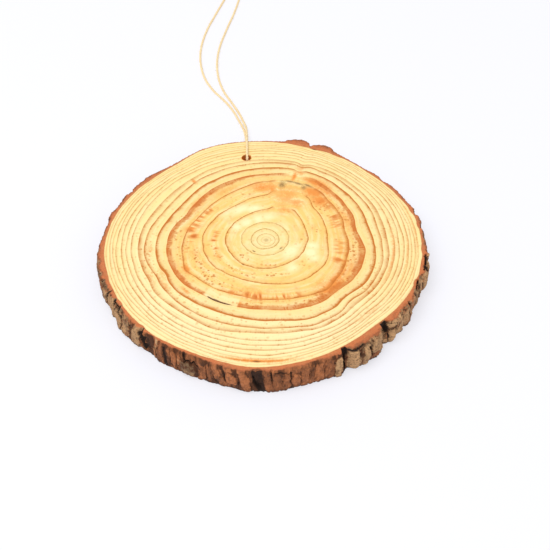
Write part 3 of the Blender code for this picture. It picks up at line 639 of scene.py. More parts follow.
def grain_attributes(spots):
    """What the wood's finish reads at each vertex: growth, late wood, its redness and the marks."""
    spots = (spots[:, :2] - PITH) / MM
    radius = np.hypot(spots[:, 0], spots[:, 1])
    angle = np.degrees(np.arctan2(spots[:, 1], spots[:, 0])) % 360.0
    rings = ring_radii(angle)
    means = rings.mean(axis=1)
    edges = np.vstack([np.zeros(len(angle)), rings])
    levels = np.concatenate([[0.0], means])
    number = (radius > rings + 0.03).sum(axis=0).clip(0, len(rings) - 1)
    column = np.arange(len(angle))
    low, high = edges[number, column], edges[number + 1, column]
    share = ((radius - low) / (high - low)).clip(0.0, 1.0)
    growth = levels[number] + share * (levels[number + 1] - levels[number])
    dark, width, red = (np.array(column_of)[number] for column_of in zip(*RING_LINES))
    for ring, widths in WIDE_RINGS.items():
        width = np.where(number == ring - 1, round_the_rim(widths, angle), width)
    dark = np.where(number > BROAD_RING + 1, dark * round_the_rim(OUTER_STRENGTH, angle), dark)
    width = width * (
        1.0 + 0.25 * wavy(angle / 3.0, number * 5.0, 120, 8) + 0.12 * wavy(angle, radius, 360, 7))
    inside = (high - radius).clip(0.0)
    line = np.where(number == BROAD_RING - 1,
                    smooth_step(3.5 * (1.0 - inside / width)) * (1.0 - 0.24 * smooth_step(inside / 0.6)),
                    np.exp(-((inside / width) ** 2) * 2.2))
    shade = 0.18 * dark * np.exp(-inside / (2.2 * width))
    late = dark * (0.86 + 0.2 * wavy(angle / 5.0, number * 3.0, 72, 9)) * line + shade * (1.0 - line)
    trace = in_trace(angle, radius)
    marks = {name: np.max([in_mark(angle, radius, mark) for mark in group], axis=0)
             for name, group in MARKS.items()}
    late = late * (1.0 - 0.93 * trace) * (1.0 - marks.pop("fade").clip(0.0, 0.95))
    marks["comb"] = np.max([in_mark(angle, radius, mark) for mark in COMBS], axis=0)
    torn = torn_patch(angle, radius)
    crack = crack_depth(angle, radius)
    marks["pale_and_sheen"] = np.maximum(marks["pale_and_sheen"], 0.4 * torn)
    late = late * (1.0 - 0.85 * torn)
    # Painted shade inside the crack, darkest where it is deepest
    marks["dark"] = np.maximum(marks["dark"], smooth_step(crack / 0.3))
    # Inside the drilled hole: amber wood, darkened with the ring lines' colour as painted shade
    bore = smooth_step((1.03 - np.hypot(*(spots + (PITH - HOLE) / MM).T) * MM / HOLE_RADIUS) / 0.02)
    marks["amber"] = np.maximum(marks["amber"], bore)
    late = np.maximum(late, 0.3 * bore)
    made = {"growth": growth, "late": late.clip(0, 1.4), "red": red, "trace": trace, **marks}
    return {name: value.astype(np.float32) for name, value in made.items()}


def add_attributes(mesh, values):
    for name, value in values.items():
        layer = mesh.attributes.new(name, "FLOAT", "POINT")
        layer.data.foreach_set("value", np.ascontiguousarray(value, np.float32))


def vertex_places(mesh):
    places = np.zeros(len(mesh.vertices) * 3, np.float32)
    mesh.vertices.foreach_get("co", places)
    return places.reshape(-1, 3).astype(float)


def add_piece(name, mesh, slot, *nodes):
    """Puts a finished mesh in the scene as a piece that stands for nodes of the solids."""
    piece = bpy.data.objects.new(name, mesh)
    bpy.context.scene.collection.objects.link(piece)
    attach(piece, BODY)
    if nodes:
        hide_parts(*nodes)
    return piece


def band(first, second, columns):
    """The faces between two closed loops of vertices that start at the given numbers."""
    faces = []
    for column in range(columns):
        after = (column + 1) % columns
        faces.append((first + column, second + column, second + after, first + after))
    return faces


def closed_grid(name, loops, columns):
    """A mesh from loops of vertices that each close on themselves; the first and last loops are points."""
    places = [loops[0][:1], *loops[1:-1], loops[-1][:1]]
    last, tip = 1 + (len(loops) - 3) * columns, 1 + (len(loops) - 2) * columns
    faces = [(0, 1 + column, 1 + (column + 1) % columns) for column in range(columns)]
    for start in range(1, last, columns):
        faces += band(start, start + columns, columns)
    faces += [(last + column, tip, last + (column + 1) % columns) for column in range(columns)]
    mesh = bpy.data.meshes.new(name)
    mesh.from_pydata(np.vstack(places).tolist(), [], faces)
    mesh.update()
    return mesh


def underside_height(y):
    return np.maximum(0.0, (y - CREASE_Y) * SAW_RISE)


def ring_loops(angle, coarse):
    """Radii of the loops of a sawn face: one on each ring's line, others beside it, and some between."""
    rings = np.vstack([np.zeros(len(angle)), ring_radii(angle)])
    beside = (0.9, 0.3) if coarse else (1.1, 0.6, 0.32, 0.14)
    after = () if coarse else (0.12,)
    loops = []
    for number, (low, high) in enumerate(zip(rings, rings[1:])):
        gap = high - low
        spacing = gap.mean()
        between = max(0, int(spacing / (1.1 if coarse else 0.55)) - 2)
        shares = [step / spacing for step in after if number] if spacing > 0.5 else []
        inner = [1.0 - step / spacing for step in beside if step < 0.75 * spacing]
        top = min(inner) if inner else 1.0
        bottom = max(shares) if shares else 0.0
        spread = [bottom + (top - bottom) * (k + 1) / (between + 1) for k in range(between)]
        for share in [*shares, *spread, *inner, 1.0]:
            loops.append(low + gap * share)
    return loops


# Settings, finishes and pieces

def colour_setting(name, description, default):
    return FloatVectorProperty(name=name, description=description, subtype="COLOR", default=default)


def length_setting(name, description, default):
    return FloatProperty(name=name, description=description, default=default, unit="LENGTH", precision=5)


class WoodSettings(bpy.types.PropertyGroup):
    """Sizes and colours of the sawn wood."""

    steps: IntProperty(
        name="Steps round the rim", description="Vertices in each loop round the pith", default=400)
    early: colour_setting("Early wood", "Colour of the light part of the outer rings", (0.93, 0.74, 0.31))
    heart: colour_setting("Heart", "Colour of the light part of the inner rings", (0.91, 0.57, 0.155))
    late: colour_setting("Late wood", "Colour of the rings' dark lines", (0.53, 0.172, 0.012))
    olive: colour_setting("Olive", "Colour of the innermost rings' lines", (0.47, 0.24, 0.035))
    red: colour_setting("Red wood", "Colour of the broad red ring", (0.58, 0.155, 0.018))
    amber: colour_setting("Amber", "Colour of resin in the wood", (0.83, 0.29, 0.05))
    # Pale wood, and the painted sheen of the glossy patches
    pale_and_sheen: colour_setting("Pale wood", "Colour of the pale polished patches", (0.95, 0.83, 0.45))
    stain: colour_setting("Stain", "Colour of the grey stain beside the branch trace", (0.34, 0.19, 0.058))
    # Also painted shade inside the crack
    dark: colour_setting("Crack", "Colour inside cracks and on dark slivers", (0.15, 0.05, 0.008))


class BarkSettings(bpy.types.PropertyGroup):
    """Sizes and colours of the bark."""

    steps: IntProperty(
        name="Steps round the rim", description="Columns of vertices round the bark", default=1440)
    levels: IntProperty(name="Levels", description="Rows of vertices down the bark's side", default=40)
    lift: length_setting("Relief", "How far a lobe of one millimetre's lift stands out", 1.0 * MM)
    brown: colour_setting("Brown bark", "Colour of the smooth bark", (0.315, 0.108, 0.038))
    tan: colour_setting("Tan plates", "Colour of the weathered plates", (0.51, 0.288, 0.135))
    inner: colour_setting("Inner bark", "Colour of the sawn bark next to the wood", (0.60, 0.18, 0.062))
    # Painted shade deep in the slots, between plates and lobes and along the bark's foot, and dark specks
    fissure_and_shade: colour_setting("Fissures", "Colour deep in the slots", (0.024, 0.011, 0.006))


class TwineSettings(bpy.types.PropertyGroup):
    """Sizes and colours of the twine."""

    diameter: length_setting("Diameter", "The twine's diameter", 0.8 * MM)
    plies: IntProperty(name="Plies", description="Yarns twisted together", default=3)
    twist: length_setting("Twist", "Length of one full turn of the yarns", 3.4 * MM)
    spacing: length_setting("Spacing", "Distance between the rings of vertices along a yarn", 0.16 * MM)
    hairs: IntProperty(name="Hairs", description="Stray fibres on each run", default=420)
    hair_length: length_setting("Hair length", "Mean length of a stray fibre", 1.0 * MM)
    straw: colour_setting("Straw", "Colour of the fibres", (0.90, 0.71, 0.42))
    shade: colour_setting("Shade", "Colour of the darker fibres", (0.62, 0.41, 0.19))


class StageSettings(bpy.types.PropertyGroup):
    """The camera, the lights and the floor."""

    lens: FloatProperty(
        name="Lens", description="Focal length for a 36 mm sensor, in millimetres", default=70.0)
    camera: FloatVectorProperty(
        name="Camera", description="Where the camera stands", subtype="TRANSLATION",
        default=(3.71 * MM, -228.36 * MM, 235.6 * MM))
    tilt: FloatProperty(
        name="Tilt", description="Angle from looking straight down", subtype="ANGLE",
        default=math.radians(43.5))
    floor: colour_setting("Floor", "Colour of the floor", (0.93, 0.93, 0.98))
    shadows: FloatProperty(
        name="Shadows", description="Share of the light that the floor gives back, and so shadows it shows",
        default=0.36)
    glow: FloatProperty(name="Glow", description="Strength of the floor's own light", default=0.62)
    sky: FloatProperty(name="Sky", description="Strength of the even light from all round", default=0.80)
    key: FloatProperty(
        name="Key light", description="Power of the large soft light", default=3.6, unit="POWER")


def wood_finish(settings):
    finish = Finish("sawn_wood")
    place = finish.place()
    x, y, _ = finish.split(finish.vector("SUBTRACT", place, (*PITH, 0.0)))
    growth, late, red, trace, comb = map(finish.attribute, ("growth", "late", "red", "trace", "comb"))
    amber, pale_and_sheen, stain, dark, speckle = map(finish.attribute, ("amber", "pale_and_sheen", "stain", "dark", "speckle"))
    spoke = finish.split(finish.vector("NORMALIZE", finish.joined(x, y, 0.0)))[:2]
    in_mm = finish.scaled(place, (1 / MM,) * 3)

    broad = finish.noise(in_mm, 0.09, 3.0)
    blotch = finish.noise(in_mm, 0.35, 3.0, 0.6)
    grain = finish.noise(in_mm, 3.2, 3.0, 0.65)
    fine = finish.ray_noise(spoke, growth, 3.0, 3.4, roughness=0.6)
    bands = finish.ray_noise(spoke, growth, 2.0, 0.9)
    rays = finish.ray_noise(spoke, growth, 95.0, 0.35, roughness=0.6)
    dashes = finish.ray_noise(spoke, growth, 60.0, 0.7, detail=1.0)

    heartwood = 1.0 - finish.step(growth + broad * 6.0, 28.0, 37.0)
    light = finish.mix(settings.early, settings.heart, heartwood * 0.85)
    light = finish.mix(light, settings.pale_and_sheen, finish.step(bands + blotch * 0.4, 0.55, 0.95) * 0.55)
    tint = finish.step(blotch, 0.45, 0.75) * (0.10 + 0.18 * heartwood)
    light = finish.mix(light, settings.amber, tint)
    # At the pale marks: paler wood and painted sheen and highlights
    light = finish.mix(light, settings.pale_and_sheen, (pale_and_sheen * (0.6 + 0.8 * blotch)).clamped())
    mottle = finish.noise(in_mm, 0.8, 3.0, 0.7)
    resin = amber * 1.35 - 0.75 + 0.75 * finish.step(mottle + grain * 0.4 + rays * 0.3, 0.45, 0.95)
    light = finish.mix(light, settings.amber, resin.clamped())

    line_colour = finish.mix(settings.late, settings.red, red)
    line_colour = finish.mix(settings.olive, line_colour, finish.step(growth, 6.0, 14.0))
    fade = finish.step(finish.ray_noise(spoke, growth, 9.0, 0.6), 0.2, 0.6)
    line = late * (0.78 + 0.32 * fade) * (0.85 + 0.4 * grain)
    line = line + finish.step(fine, 0.54, 0.78) * (0.20 - 0.10 * heartwood) * (1.0 - trace)
    line = line + finish.step(dashes, 0.56, 0.68) * late * 0.45
    colour = finish.mix(light, line_colour, line.clamped())

    specks = ((0.50, 0.75, settings.late), (0.72, 0.75, settings.red), (1.25, 0.45, settings.late))
    for scale, share, tint in specks:
        spots = finish.cells(in_mm, scale, flat=True)
        chance = finish.split(finish.cells(in_mm, scale, output="Color", flat=True))[0]
        speck = 1.0 - finish.step(spots + (grain - 0.5) * 0.4, 0.10, 0.30)
        speck = speck * finish.step(chance + speckle * 0.55, 0.82, 0.94)
        colour = finish.mix(colour, tint, (speck * (0.30 + speckle)).clamped() * share)
    colour = finish.mix(colour, settings.late, finish.step(rays, 0.62, 0.85) * 0.10)
    stained = stain * finish.step(grain + blotch * 0.6, 0.35, 0.9)
    colour = finish.mix(colour, settings.stain, stained.clamped())
    # Dark slivers, and painted shade inside the crack
    colour = finish.mix(colour, settings.dark, finish.step(dark, 0.15, 0.75))
    needles = finish.ray_noise(spoke, growth, 26.0, 0.2, detail=1.0)
    colour = finish.mix(colour, settings.amber, (comb * finish.step(needles, 0.38, 0.52)).clamped())
    colour = finish.mix(colour, settings.red, (comb * finish.step(needles, 0.48, 0.60) * 0.9).clamped())

    height = late * 0.030 + fine * 0.010 + grain * 0.012 + rays * 0.006
    finish.set(
        Base_Color=colour,
        Roughness=(0.50 + 0.16 * grain - 0.10 * pale_and_sheen).clamped(),
        Normal=finish.bump(height, 0.6, MM),
        Specular_IOR_Level=0.35,
    )
    return finish.material


class LOG_SLICE_OT_wood(bpy.types.Operator):
    """Build the sawn wood with its rings, crack and drilled hole"""

    bl_idname = "log_slice.wood"
    bl_label = "Sawn wood"

    def execute(self, context):
        settings = context.scene.log_wood
        angle = np.arange(settings.steps) * 360.0 / settings.steps
        turn = np.radians(angle)
        ways = np.stack([np.cos(turn), np.sin(turn)], axis=1)
        upper = ring_loops(angle, coarse=False)
        lower = ring_loops(angle, coarse=True)
        centre = np.repeat(PITH[None, :], settings.steps, axis=0)
        loops = [np.hstack([centre, np.full((settings.steps, 1), THICKNESS)])]
        for radius in upper:
            flat = PITH + ways * radius[:, None] * MM
            depth = crack_depth(angle, radius) * MM
            loops.append(np.hstack([flat, (THICKNESS - depth)[:, None]]))
        for radius in lower[::-1]:
            flat = PITH + ways * radius[:, None] * MM
            loops.append(np.hstack([flat, underside_height(flat[:, 1])[:, None]]))
        loops.append(np.hstack([centre, np.zeros((settings.steps, 1))]))
        mesh = closed_grid("wood_slice", loops, settings.steps)
        mesh = self.drilled(mesh)
        mesh.materials.clear()
        mesh.materials.append(wood_finish(settings))
        add_attributes(mesh, grain_attributes(vertex_places(mesh)))
        mesh.shade_smooth()
        mesh.set_sharp_from_angle(angle=math.radians(40.0))
        add_piece("wood_slice", mesh, "wood", "wood")
        return {"FINISHED"}

    def drilled(self, mesh):
        """The mesh with the hole drilled through it."""
        solid = bpy.data.objects.new("wood_blank", mesh)
        shape = bmesh.new()
        bmesh.ops.create_cone(
            shape, cap_ends=True, segments=48, radius1=HOLE_RADIUS, radius2=HOLE_RADIUS, depth=3 * THICKNESS)
        bmesh.ops.translate(shape, vec=(*HOLE, THICKNESS / 2), verts=shape.verts)
        drill_mesh = bpy.data.meshes.new("drill")
        shape.to_mesh(drill_mesh)
        shape.free()
        drill = bpy.data.objects.new("drill", drill_mesh)
        for thing in (solid, drill):
            bpy.context.scene.collection.objects.link(thing)
        cut = solid.modifiers.new("hole", "BOOLEAN")
        cut.operation = "DIFFERENCE"
        cut.solver = "MANIFOLD"
        cut.object = drill
        graph = bpy.context.evaluated_depsgraph_get()
        made = bpy.data.meshes.new_from_object(solid.evaluated_get(graph))
        bpy.data.objects.remove(solid)
        bpy.data.objects.remove(drill)
        return made


def bark_finish(settings):
    finish = Finish("bark")
    place = finish.place()
    x, y, z = finish.split(finish.vector("SUBTRACT", place, (*PITH, 0.0)))
    in_mm = finish.scaled(place, (1 / MM,) * 3)
    dark, cut, across, tan, tone = map(finish.attribute, ("dark", "cut", "across", "tan", "tone"))
    spoke = finish.split(finish.vector("NORMALIZE", finish.joined(x, y, 0.0)))[:2]
    height = z / MM

    sway = finish.noise(in_mm, 0.45, 2.0) * 0.03
    swayed = [part + sway for part in spoke]
    streaks = finish.ray_noise(swayed, height, 120.0, 0.30, 3.0, 0.65)
    wide = finish.ray_noise(swayed, height, 34.0, 0.22, 2.0, 0.6)
    grit = finish.noise(in_mm, 3.6, 4.0, 0.75)
    patches = finish.noise(in_mm, 0.6, 3.0, 0.6)
    lichen = finish.noise(in_mm, 1.5, 3.0, 0.7)
    bent = (patches - 0.5) * 1.6
    scales = finish.cells(
        finish.joined(*(part * 24.0 + bent for part in swayed), height * 0.30 + bent), 1.0,
        feature="DISTANCE_TO_EDGE")
    creases = (1.0 - finish.step(scales, 0.02, 0.16)) * finish.step(lichen, 0.40, 0.62)

    # The brighter copies of brown and tan are partly painted highlights on the lighter lobes and plates; the
    # rest is the bark's random tone
    dim, bright = (tuple(min(1.0, k * c) for c in settings.brown) for k in (0.30, 1.75))
    level = finish.step(tone + (wide - 0.5) * 1.2 + (patches - 0.5) * 0.6, 0.05, 1.05)
    brown = finish.mix(finish.mix(dim, settings.brown, finish.step(level, 0.0, 0.55)), bright,
                       finish.step(level, 0.5, 1.0) * 0.75)
    brown = finish.mix(brown, dim, finish.step(streaks, 0.50, 0.72) * 0.65)
    brown = finish.mix(brown, (0.30, 0.17, 0.13), finish.step(lichen, 0.55, 0.75) * 0.35)
    murky, pale_and_sheen = (tuple(min(1.0, k * c) for c in settings.tan) for k in (0.35, 1.35))
    grey = finish.mix(finish.mix(murky, settings.tan, finish.step(level + grit * 0.3, 0.1, 0.75)), pale_and_sheen,
                      finish.step(level, 0.55, 1.05) * 0.6)
    grey = finish.mix(grey, (0.23, 0.15, 0.08), finish.step(lichen, 0.48, 0.66) * 0.55)
    grey = finish.mix(grey, murky, finish.step(streaks, 0.54, 0.72) * 0.5)
    flaky = finish.step(tan + (patches - 0.5) * 1.3 + (lichen - 0.5) * 0.8, 0.35, 0.65)
    side = finish.mix(brown, grey, flaky)
    # Painted shade in the creases between scales
    side = finish.mix(side, dim, (creases * (0.35 + 0.3 * grit)).clamped())
    side = finish.mix(side, settings.fissure_and_shade, finish.step(grit - tone * 0.15, 0.58, 0.74) * 0.5)
    # Painted shade in the slots and in the gaps between plates and lobes
    side = finish.mix(side, settings.fissure_and_shade, finish.step(dark + (grit - 0.5) * 0.35, 0.10, 0.85))
    # Painted shade along the foot of the bark, where it meets the floor
    side = finish.mix(side, settings.fissure_and_shade, (1.0 - finish.step(height, 0.2, 1.4)) * 0.55)

    rust = tuple(0.42 * c for c in settings.inner)
    inner = finish.mix(settings.inner, (0.62, 0.25, 0.095), finish.step(patches, 0.45, 0.7) * 0.55)
    inner = finish.mix(inner, rust, finish.step(grit, 0.52, 0.75) * 0.45)
    lines = finish.ray_noise(spoke, across, 16.0, 5.0, 3.0, 0.6)
    inner = finish.mix(inner, rust, finish.step(lines, 0.5, 0.7) * 0.4)
    outer = finish.step(across + (lichen - 0.5) * 1.3 + (patches - 0.5) * 0.8, 0.55, 1.05)
    aged = finish.step(across + (patches - 0.5) * 1.2, 0.35, 0.85)
    inner = finish.mix(inner, (0.36, 0.105, 0.045), aged * 0.55)
    sawn = finish.mix(inner, finish.mix(dim, settings.brown, grit), outer * (0.5 + 0.4 * tan).clamped())
    sawn = finish.mix(sawn, settings.inner, (1.0 - finish.step(across, 0.0, 0.2)) * 0.6)
    # Painted shade in the slots of the sawn edge
    sawn = finish.mix(sawn, settings.fissure_and_shade, finish.step(dark, 0.15, 0.8))
    colour = finish.mix(side, sawn, cut)

    bumps = grit * 0.16 + streaks * 0.16 * (1.0 - cut) + lichen * 0.08 - creases * 0.10
    finish.set(
        Base_Color=colour,
        Roughness=(0.70 + 0.2 * grit).clamped(),
        Normal=finish.bump(bumps, 0.9, MM),
        Specular_IOR_Level=0.25,
    )
    return finish.material


class BarkShape:
    """The bark's outer wall: where the solids' bark ends, plus lobes, plates, streaks and slots."""

    def __init__(self):
        node = frame["nodes"]["bark"]
        self.tree = BVHTree.FromPolygons(
            [v.co for v in node.data.vertices], [tuple(p.vertices) for p in node.data.polygons])

    def solid_radius(self, angle, height):
        """The outer radius of the solids' bark in metres, found by looking in from outside."""
        turn = math.radians(angle)
        way = Vector((math.cos(turn), math.sin(turn), 0.0))
        start = Vector((*PITH, height)) + way * LOOK_FROM
        spot, _, _, distance = self.tree.ray_cast(start, -way)
        return LOOK_FROM - distance if spot else None

    def base(self, columns, heights):
        """The outer radius on a grid of angles and heights, smoothed over the solids' flat facets."""
        every, sample = 3, np.linspace(0.0, THICKNESS, 10)
        grid = np.zeros((columns // every, len(sample)))
        for i in range(len(grid)):
            for j, height in enumerate(sample.clip(0.15 * MM, THICKNESS - 0.05 * MM)):
                found = self.solid_radius(i * every * 360.0 / columns, height)
                grid[i, j] = found if found else grid[i, j - 1]
        grid = (np.roll(grid, 1, axis=0) + 2 * grid + np.roll(grid, -1, axis=0)) / 4
        rows = np.array([np.interp(heights, sample, row) for row in grid])
        spots = np.arange(columns) / every
        low = np.floor(spots).astype(int)
        part = (spots - low)[:, None]
        return rows[low % len(rows)] * (1 - part) + rows[(low + 1) % len(rows)] * part

    def relief(self, angle, height):
        """Fields on a grid: outward shift in millimetres, darkness of the painted shade in slots and gaps,
        tone and share of tan.
        """
        tan = round_the_rim(TAN_BARK, angle)
        warp_side = 0.55 * wavy(angle * 0.6, height * 0.5, 216, 41)
        warp_side = warp_side + 0.22 * wavy(angle * 2.0, height * 1.6, 720, 42)
        warp_up = 0.7 * wavy(angle * 0.5, height * 0.4, 180, 43)
        warp_up = warp_up + 0.25 * wavy(angle * 1.6, height * 1.5, 576, 44)
        turned, raised = angle + warp_side, height + warp_up
        shift, dark = np.zeros(angle.shape), np.zeros(angle.shape)
        tone, tan_share = np.full(angle.shape, 0.45), tan * 0.6
        self.plates(turned, raised, tan, shift, dark, tone)
        for at, middle, half_width, half_height, lean, lift, light, grey in LOBES:
            aside = angle_apart(turned, at + lean * (height - middle)) / half_width
            oval = np.abs(aside) ** 3.0 + np.abs((raised - middle) / half_height) ** 4.0
            inside = smooth_step((1.25 - oval) * 2.5)
            edge = np.exp(-(((oval - 1.45) / 0.5) ** 2)) * (oval > 0.6)
            dome = inside * lift * (1.0 - 0.35 * aside**2)
            shift += (dome - shift * 0.75 * inside) - 0.10 * edge
            # Painted shade in the groove round the lobe
            dark[:] = np.maximum(dark * (1.0 - 0.7 * inside), 0.42 * edge)
            tone += (light - tone) * inside
            tan_share += (grey - tan_share) * inside
        for depth, black, route in SLOTS:
            near = slot_depth(angle + 0.35 * warp_side, height, route, by_height=True)
            shift -= depth * near * (0.1 + 0.9 * smooth_step(height / 2.5))
            # Painted shade deep in the slot
            dark[:] = np.maximum(dark, black * smooth_step(near * 2.2))
        streak = 0.06 * wavy(turned * 1.7, height * 0.2, 612, 51)
        streak = streak + 0.05 * wavy(turned * 4.0, height * 0.5, 1440, 52)
        rough = 0.05 * wavy(angle * 3.5, height * 3.2, 1260, 53)
        rough = rough + 0.06 * wavy(angle * 1.6, height * 1.7, 576, 54)
        shift += streak + rough * (0.6 + 0.9 * tan)
        return shift, dark, tone, tan_share

    def plates(self, turned, raised, tan, shift, dark, tone):
        """Small plates with painted shade in the gaps between them, strongest where the bark is grey and
        flaky.
        """
        for count, tall, lift, gap, seed in ((96, 4.6, 0.30, 0.75, 63), (240, 2.4, 0.14, 0.45, 64)):
            near, second, chance = plate_cells(turned * count / 360.0, raised / tall, count, seed)
            border = smooth_step(1.0 - (second - near) / 0.16)
            weight = 0.25 + 0.75 * tan
            shift += lift * (chance - 0.35 - 0.9 * border) * weight
            # Painted shade in the gaps between plates
            dark[:] = np.maximum(dark, gap * border * weight)
            tone += 0.5 * (chance - 0.5)


def plate_cells(across, along, columns, seed):
    """Distances to the nearest and second nearest of scattered points, and the nearest's random number."""
    draw = np.random.RandomState(seed)
    rows = 12
    jitter = draw.uniform(0.1, 0.9, (columns, rows, 2))
    numbers = draw.uniform(0.0, 1.0, (columns, rows))
    column, row = np.floor(across).astype(int), np.floor(along).astype(int)
    near = np.full(across.shape, 9.0)
    second, chance = near.copy(), near * 0.0
    for i in (-1, 0, 1):
        for j in (-1, 0, 1):
            this, up = (column + i) % columns, (row + j) % rows
            away = np.hypot(column + i + jitter[this, up, 0] - across, row + j + jitter[this, up, 1] - along)
            closer = away < near
            second = np.where(closer, near, np.minimum(second, away))
            chance = np.where(closer, numbers[this, up], chance)
            near = np.where(closer, away, near)
    return near, second, chance


def slot_depth(angle, level, route, by_height):
    """1 in the middle of a slot and 0 outside it; level is the height, or the radius on a sawn face."""
    best = np.zeros(angle.shape)
    for (at, low, wide), (to, high, wider) in zip(route, route[1:]):
        reach = BARK_REACH if by_height else level
        x, y = np.radians(angle_apart(angle, at)) * reach, level - low
        dx, dy = math.radians(to - at) * BARK_REACH, high - low
        share = ((x * dx + y * dy) / (dx * dx + dy * dy)).clip(0.0, 1.0)
        away = np.hypot(x - share * dx, y - share * dy)
        width = wide + (wider - wide) * share
        best = np.maximum(best, smooth_step(1.0 - (away - 0.7 * width) / (0.6 * width)))
    return best


class LOG_SLICE_OT_bark(bpy.types.Operator):
    """Build the ring of bark with its plates, slots and sawn edges"""

    bl_idname = "log_slice.bark"
    bl_label = "Bark"

    def execute(self, context):
        settings = context.scene.log_bark
        shape = BarkShape()
        columns, levels = settings.steps, settings.levels
        angles = np.arange(columns) * 360.0 / columns
        heights = THICKNESS * (1.0 - np.arange(levels) / (levels - 1))
        angle, height = np.meshgrid(angles, heights / MM, indexing="ij")
        base = shape.base(columns, heights)
        shift, dark, tone, tan = shape.relief(angle, height)
        inner = (wood_edge(angles) * MM + 0.02 * MM)[:, None]
        rolled = 0.18 * smooth_step((0.9 - height) / 0.9) + 0.08 * smooth_step((height - 8.5) / 0.5)
        outer = base + (shift * settings.lift / MM - 0.12 - rolled) * MM
        outer = np.maximum(outer, inner + (0.25 + 0.15 * wavy(angle, height, 360, 55)) * MM)
        self.build(settings, angles, heights, inner[:, 0], outer, dark, tone, tan)
        return {"FINISHED"}

    def build(self, settings, angles, heights, inner, outer, dark, tone, tan):
        """Loops from the inner edge over the sawn top, down the side and back under to the inner wall."""
        turn = np.radians(angles)
        ways = np.stack([np.cos(turn), np.sin(turn)], axis=1)
        loops, values = [], []

        def add_loop(radius, height, **fields):
            flat = PITH + ways * radius[:, None]
            floor = underside_height(flat[:, 1])
            z = floor + (THICKNESS - floor) * height / THICKNESS
            loops.append(np.hstack([flat, z[:, None]]))
            values.append(fields)

        zero, one = np.zeros(len(angles)), np.ones(len(angles))
        loose = round_the_rim(CRUMBLE, angles)
        loose = loose * (
            1.0 + 0.8 * wavy(angles * 0.4, zero, 144, 59) + 0.5 * wavy(angles * 1.2, zero, 432, 60))
        loose = loose.clip(0.04, 0.8)
        fall = (0.1 + 1.7 * loose) * (1.0 + 0.3 * wavy(angles * 2.0, zero, 720, 58)) * MM
        shares = np.linspace(0.0, 1.0, 16)[:-1]
        for share in shares:
            radius = inner + (outer[:, 0] - inner) * share
            black = np.zeros(len(angles))
            wander = angles + 0.3 * wavy(angles, radius / MM * 2.0, 360, 56)
            for strength, route in EDGE_SLOTS:
                near = slot_depth(wander, radius / MM, route, by_height=False)
                # Painted shade in the sawn edge's slots, which are also cut down
                black = np.maximum(black, strength * near)
            grain = 0.10 * share * (1.0 + wavy(angles * 2.0, radius / MM * 3.0, 720, 57))
            broken = ((share - 1.0 + loose) / loose).clip(0.0, 1.0)
            height = THICKNESS - (1.1 * black * min(1.0, 4.0 * share) + grain) * MM - fall * broken
            kept = 1.0 - smooth_step(broken * 3.0)
            add_loop(
                radius, height, dark=black, cut=kept, across=zero + share, tone=tone[:, 0], tan=tan[:, 0])
        for level, height in enumerate(heights):
            add_loop(
                outer[:, level], height * (1.0 - fall / THICKNESS), dark=dark[:, level], cut=zero, across=one,
                tone=tone[:, level], tan=tan[:, level])
        for share in shares[::-4]:
            radius = inner + (outer[:, -1] - inner) * share
            add_loop(
                radius, zero, dark=zero, cut=one, across=zero + share, tone=tone[:, -1], tan=tan[:, -1])
        columns, faces = len(angles), []
        for row in range(len(loops)):
            faces += band(row * columns, (row + 1) % len(loops) * columns, columns)
        mesh = bpy.data.meshes.new("bark_ring")
        mesh.from_pydata(np.vstack(loops).tolist(), [], faces)
        mesh.update()
        add_attributes(mesh, {name: np.concatenate([row[name] for row in values]) for name in values[0]})
        mesh.materials.append(bark_finish(settings))
        mesh.shade_smooth()
        mesh.set_sharp_from_angle(angle=math.radians(45.0))
        add_piece("bark_ring", mesh, "bark", "bark")


def twine_finish(settings):
    finish = Finish("jute")
    around = finish.attribute("around", output="Vector")
    along = finish.attribute("along")
    x, y, ply = finish.split(around)
    fibres = finish.noise(finish.joined(x * 2.2 + ply * 5.0, y * 2.2, along * 0.9), 1.0, 3.0, 0.7)
    blotch = finish.noise(finish.joined(x * 0.3, ply * 3.0, along * 0.35), 1.0, 2.0)
    colour = finish.mix(settings.straw, settings.shade, finish.step(fibres, 0.48, 0.78) * 0.75)
    bright = tuple(min(1.0, 1.2 * c) for c in settings.straw)
    colour = finish.mix(colour, bright, finish.step(blotch, 0.5, 0.7) * 0.5)
    finish.set(
        Base_Color=colour,
        Roughness=(0.78 + 0.15 * fibres).clamped(),
        Normal=finish.bump(fibres, 0.5, 0.05 * MM),
        Specular_IOR_Level=0.2,
    )
    return finish.material


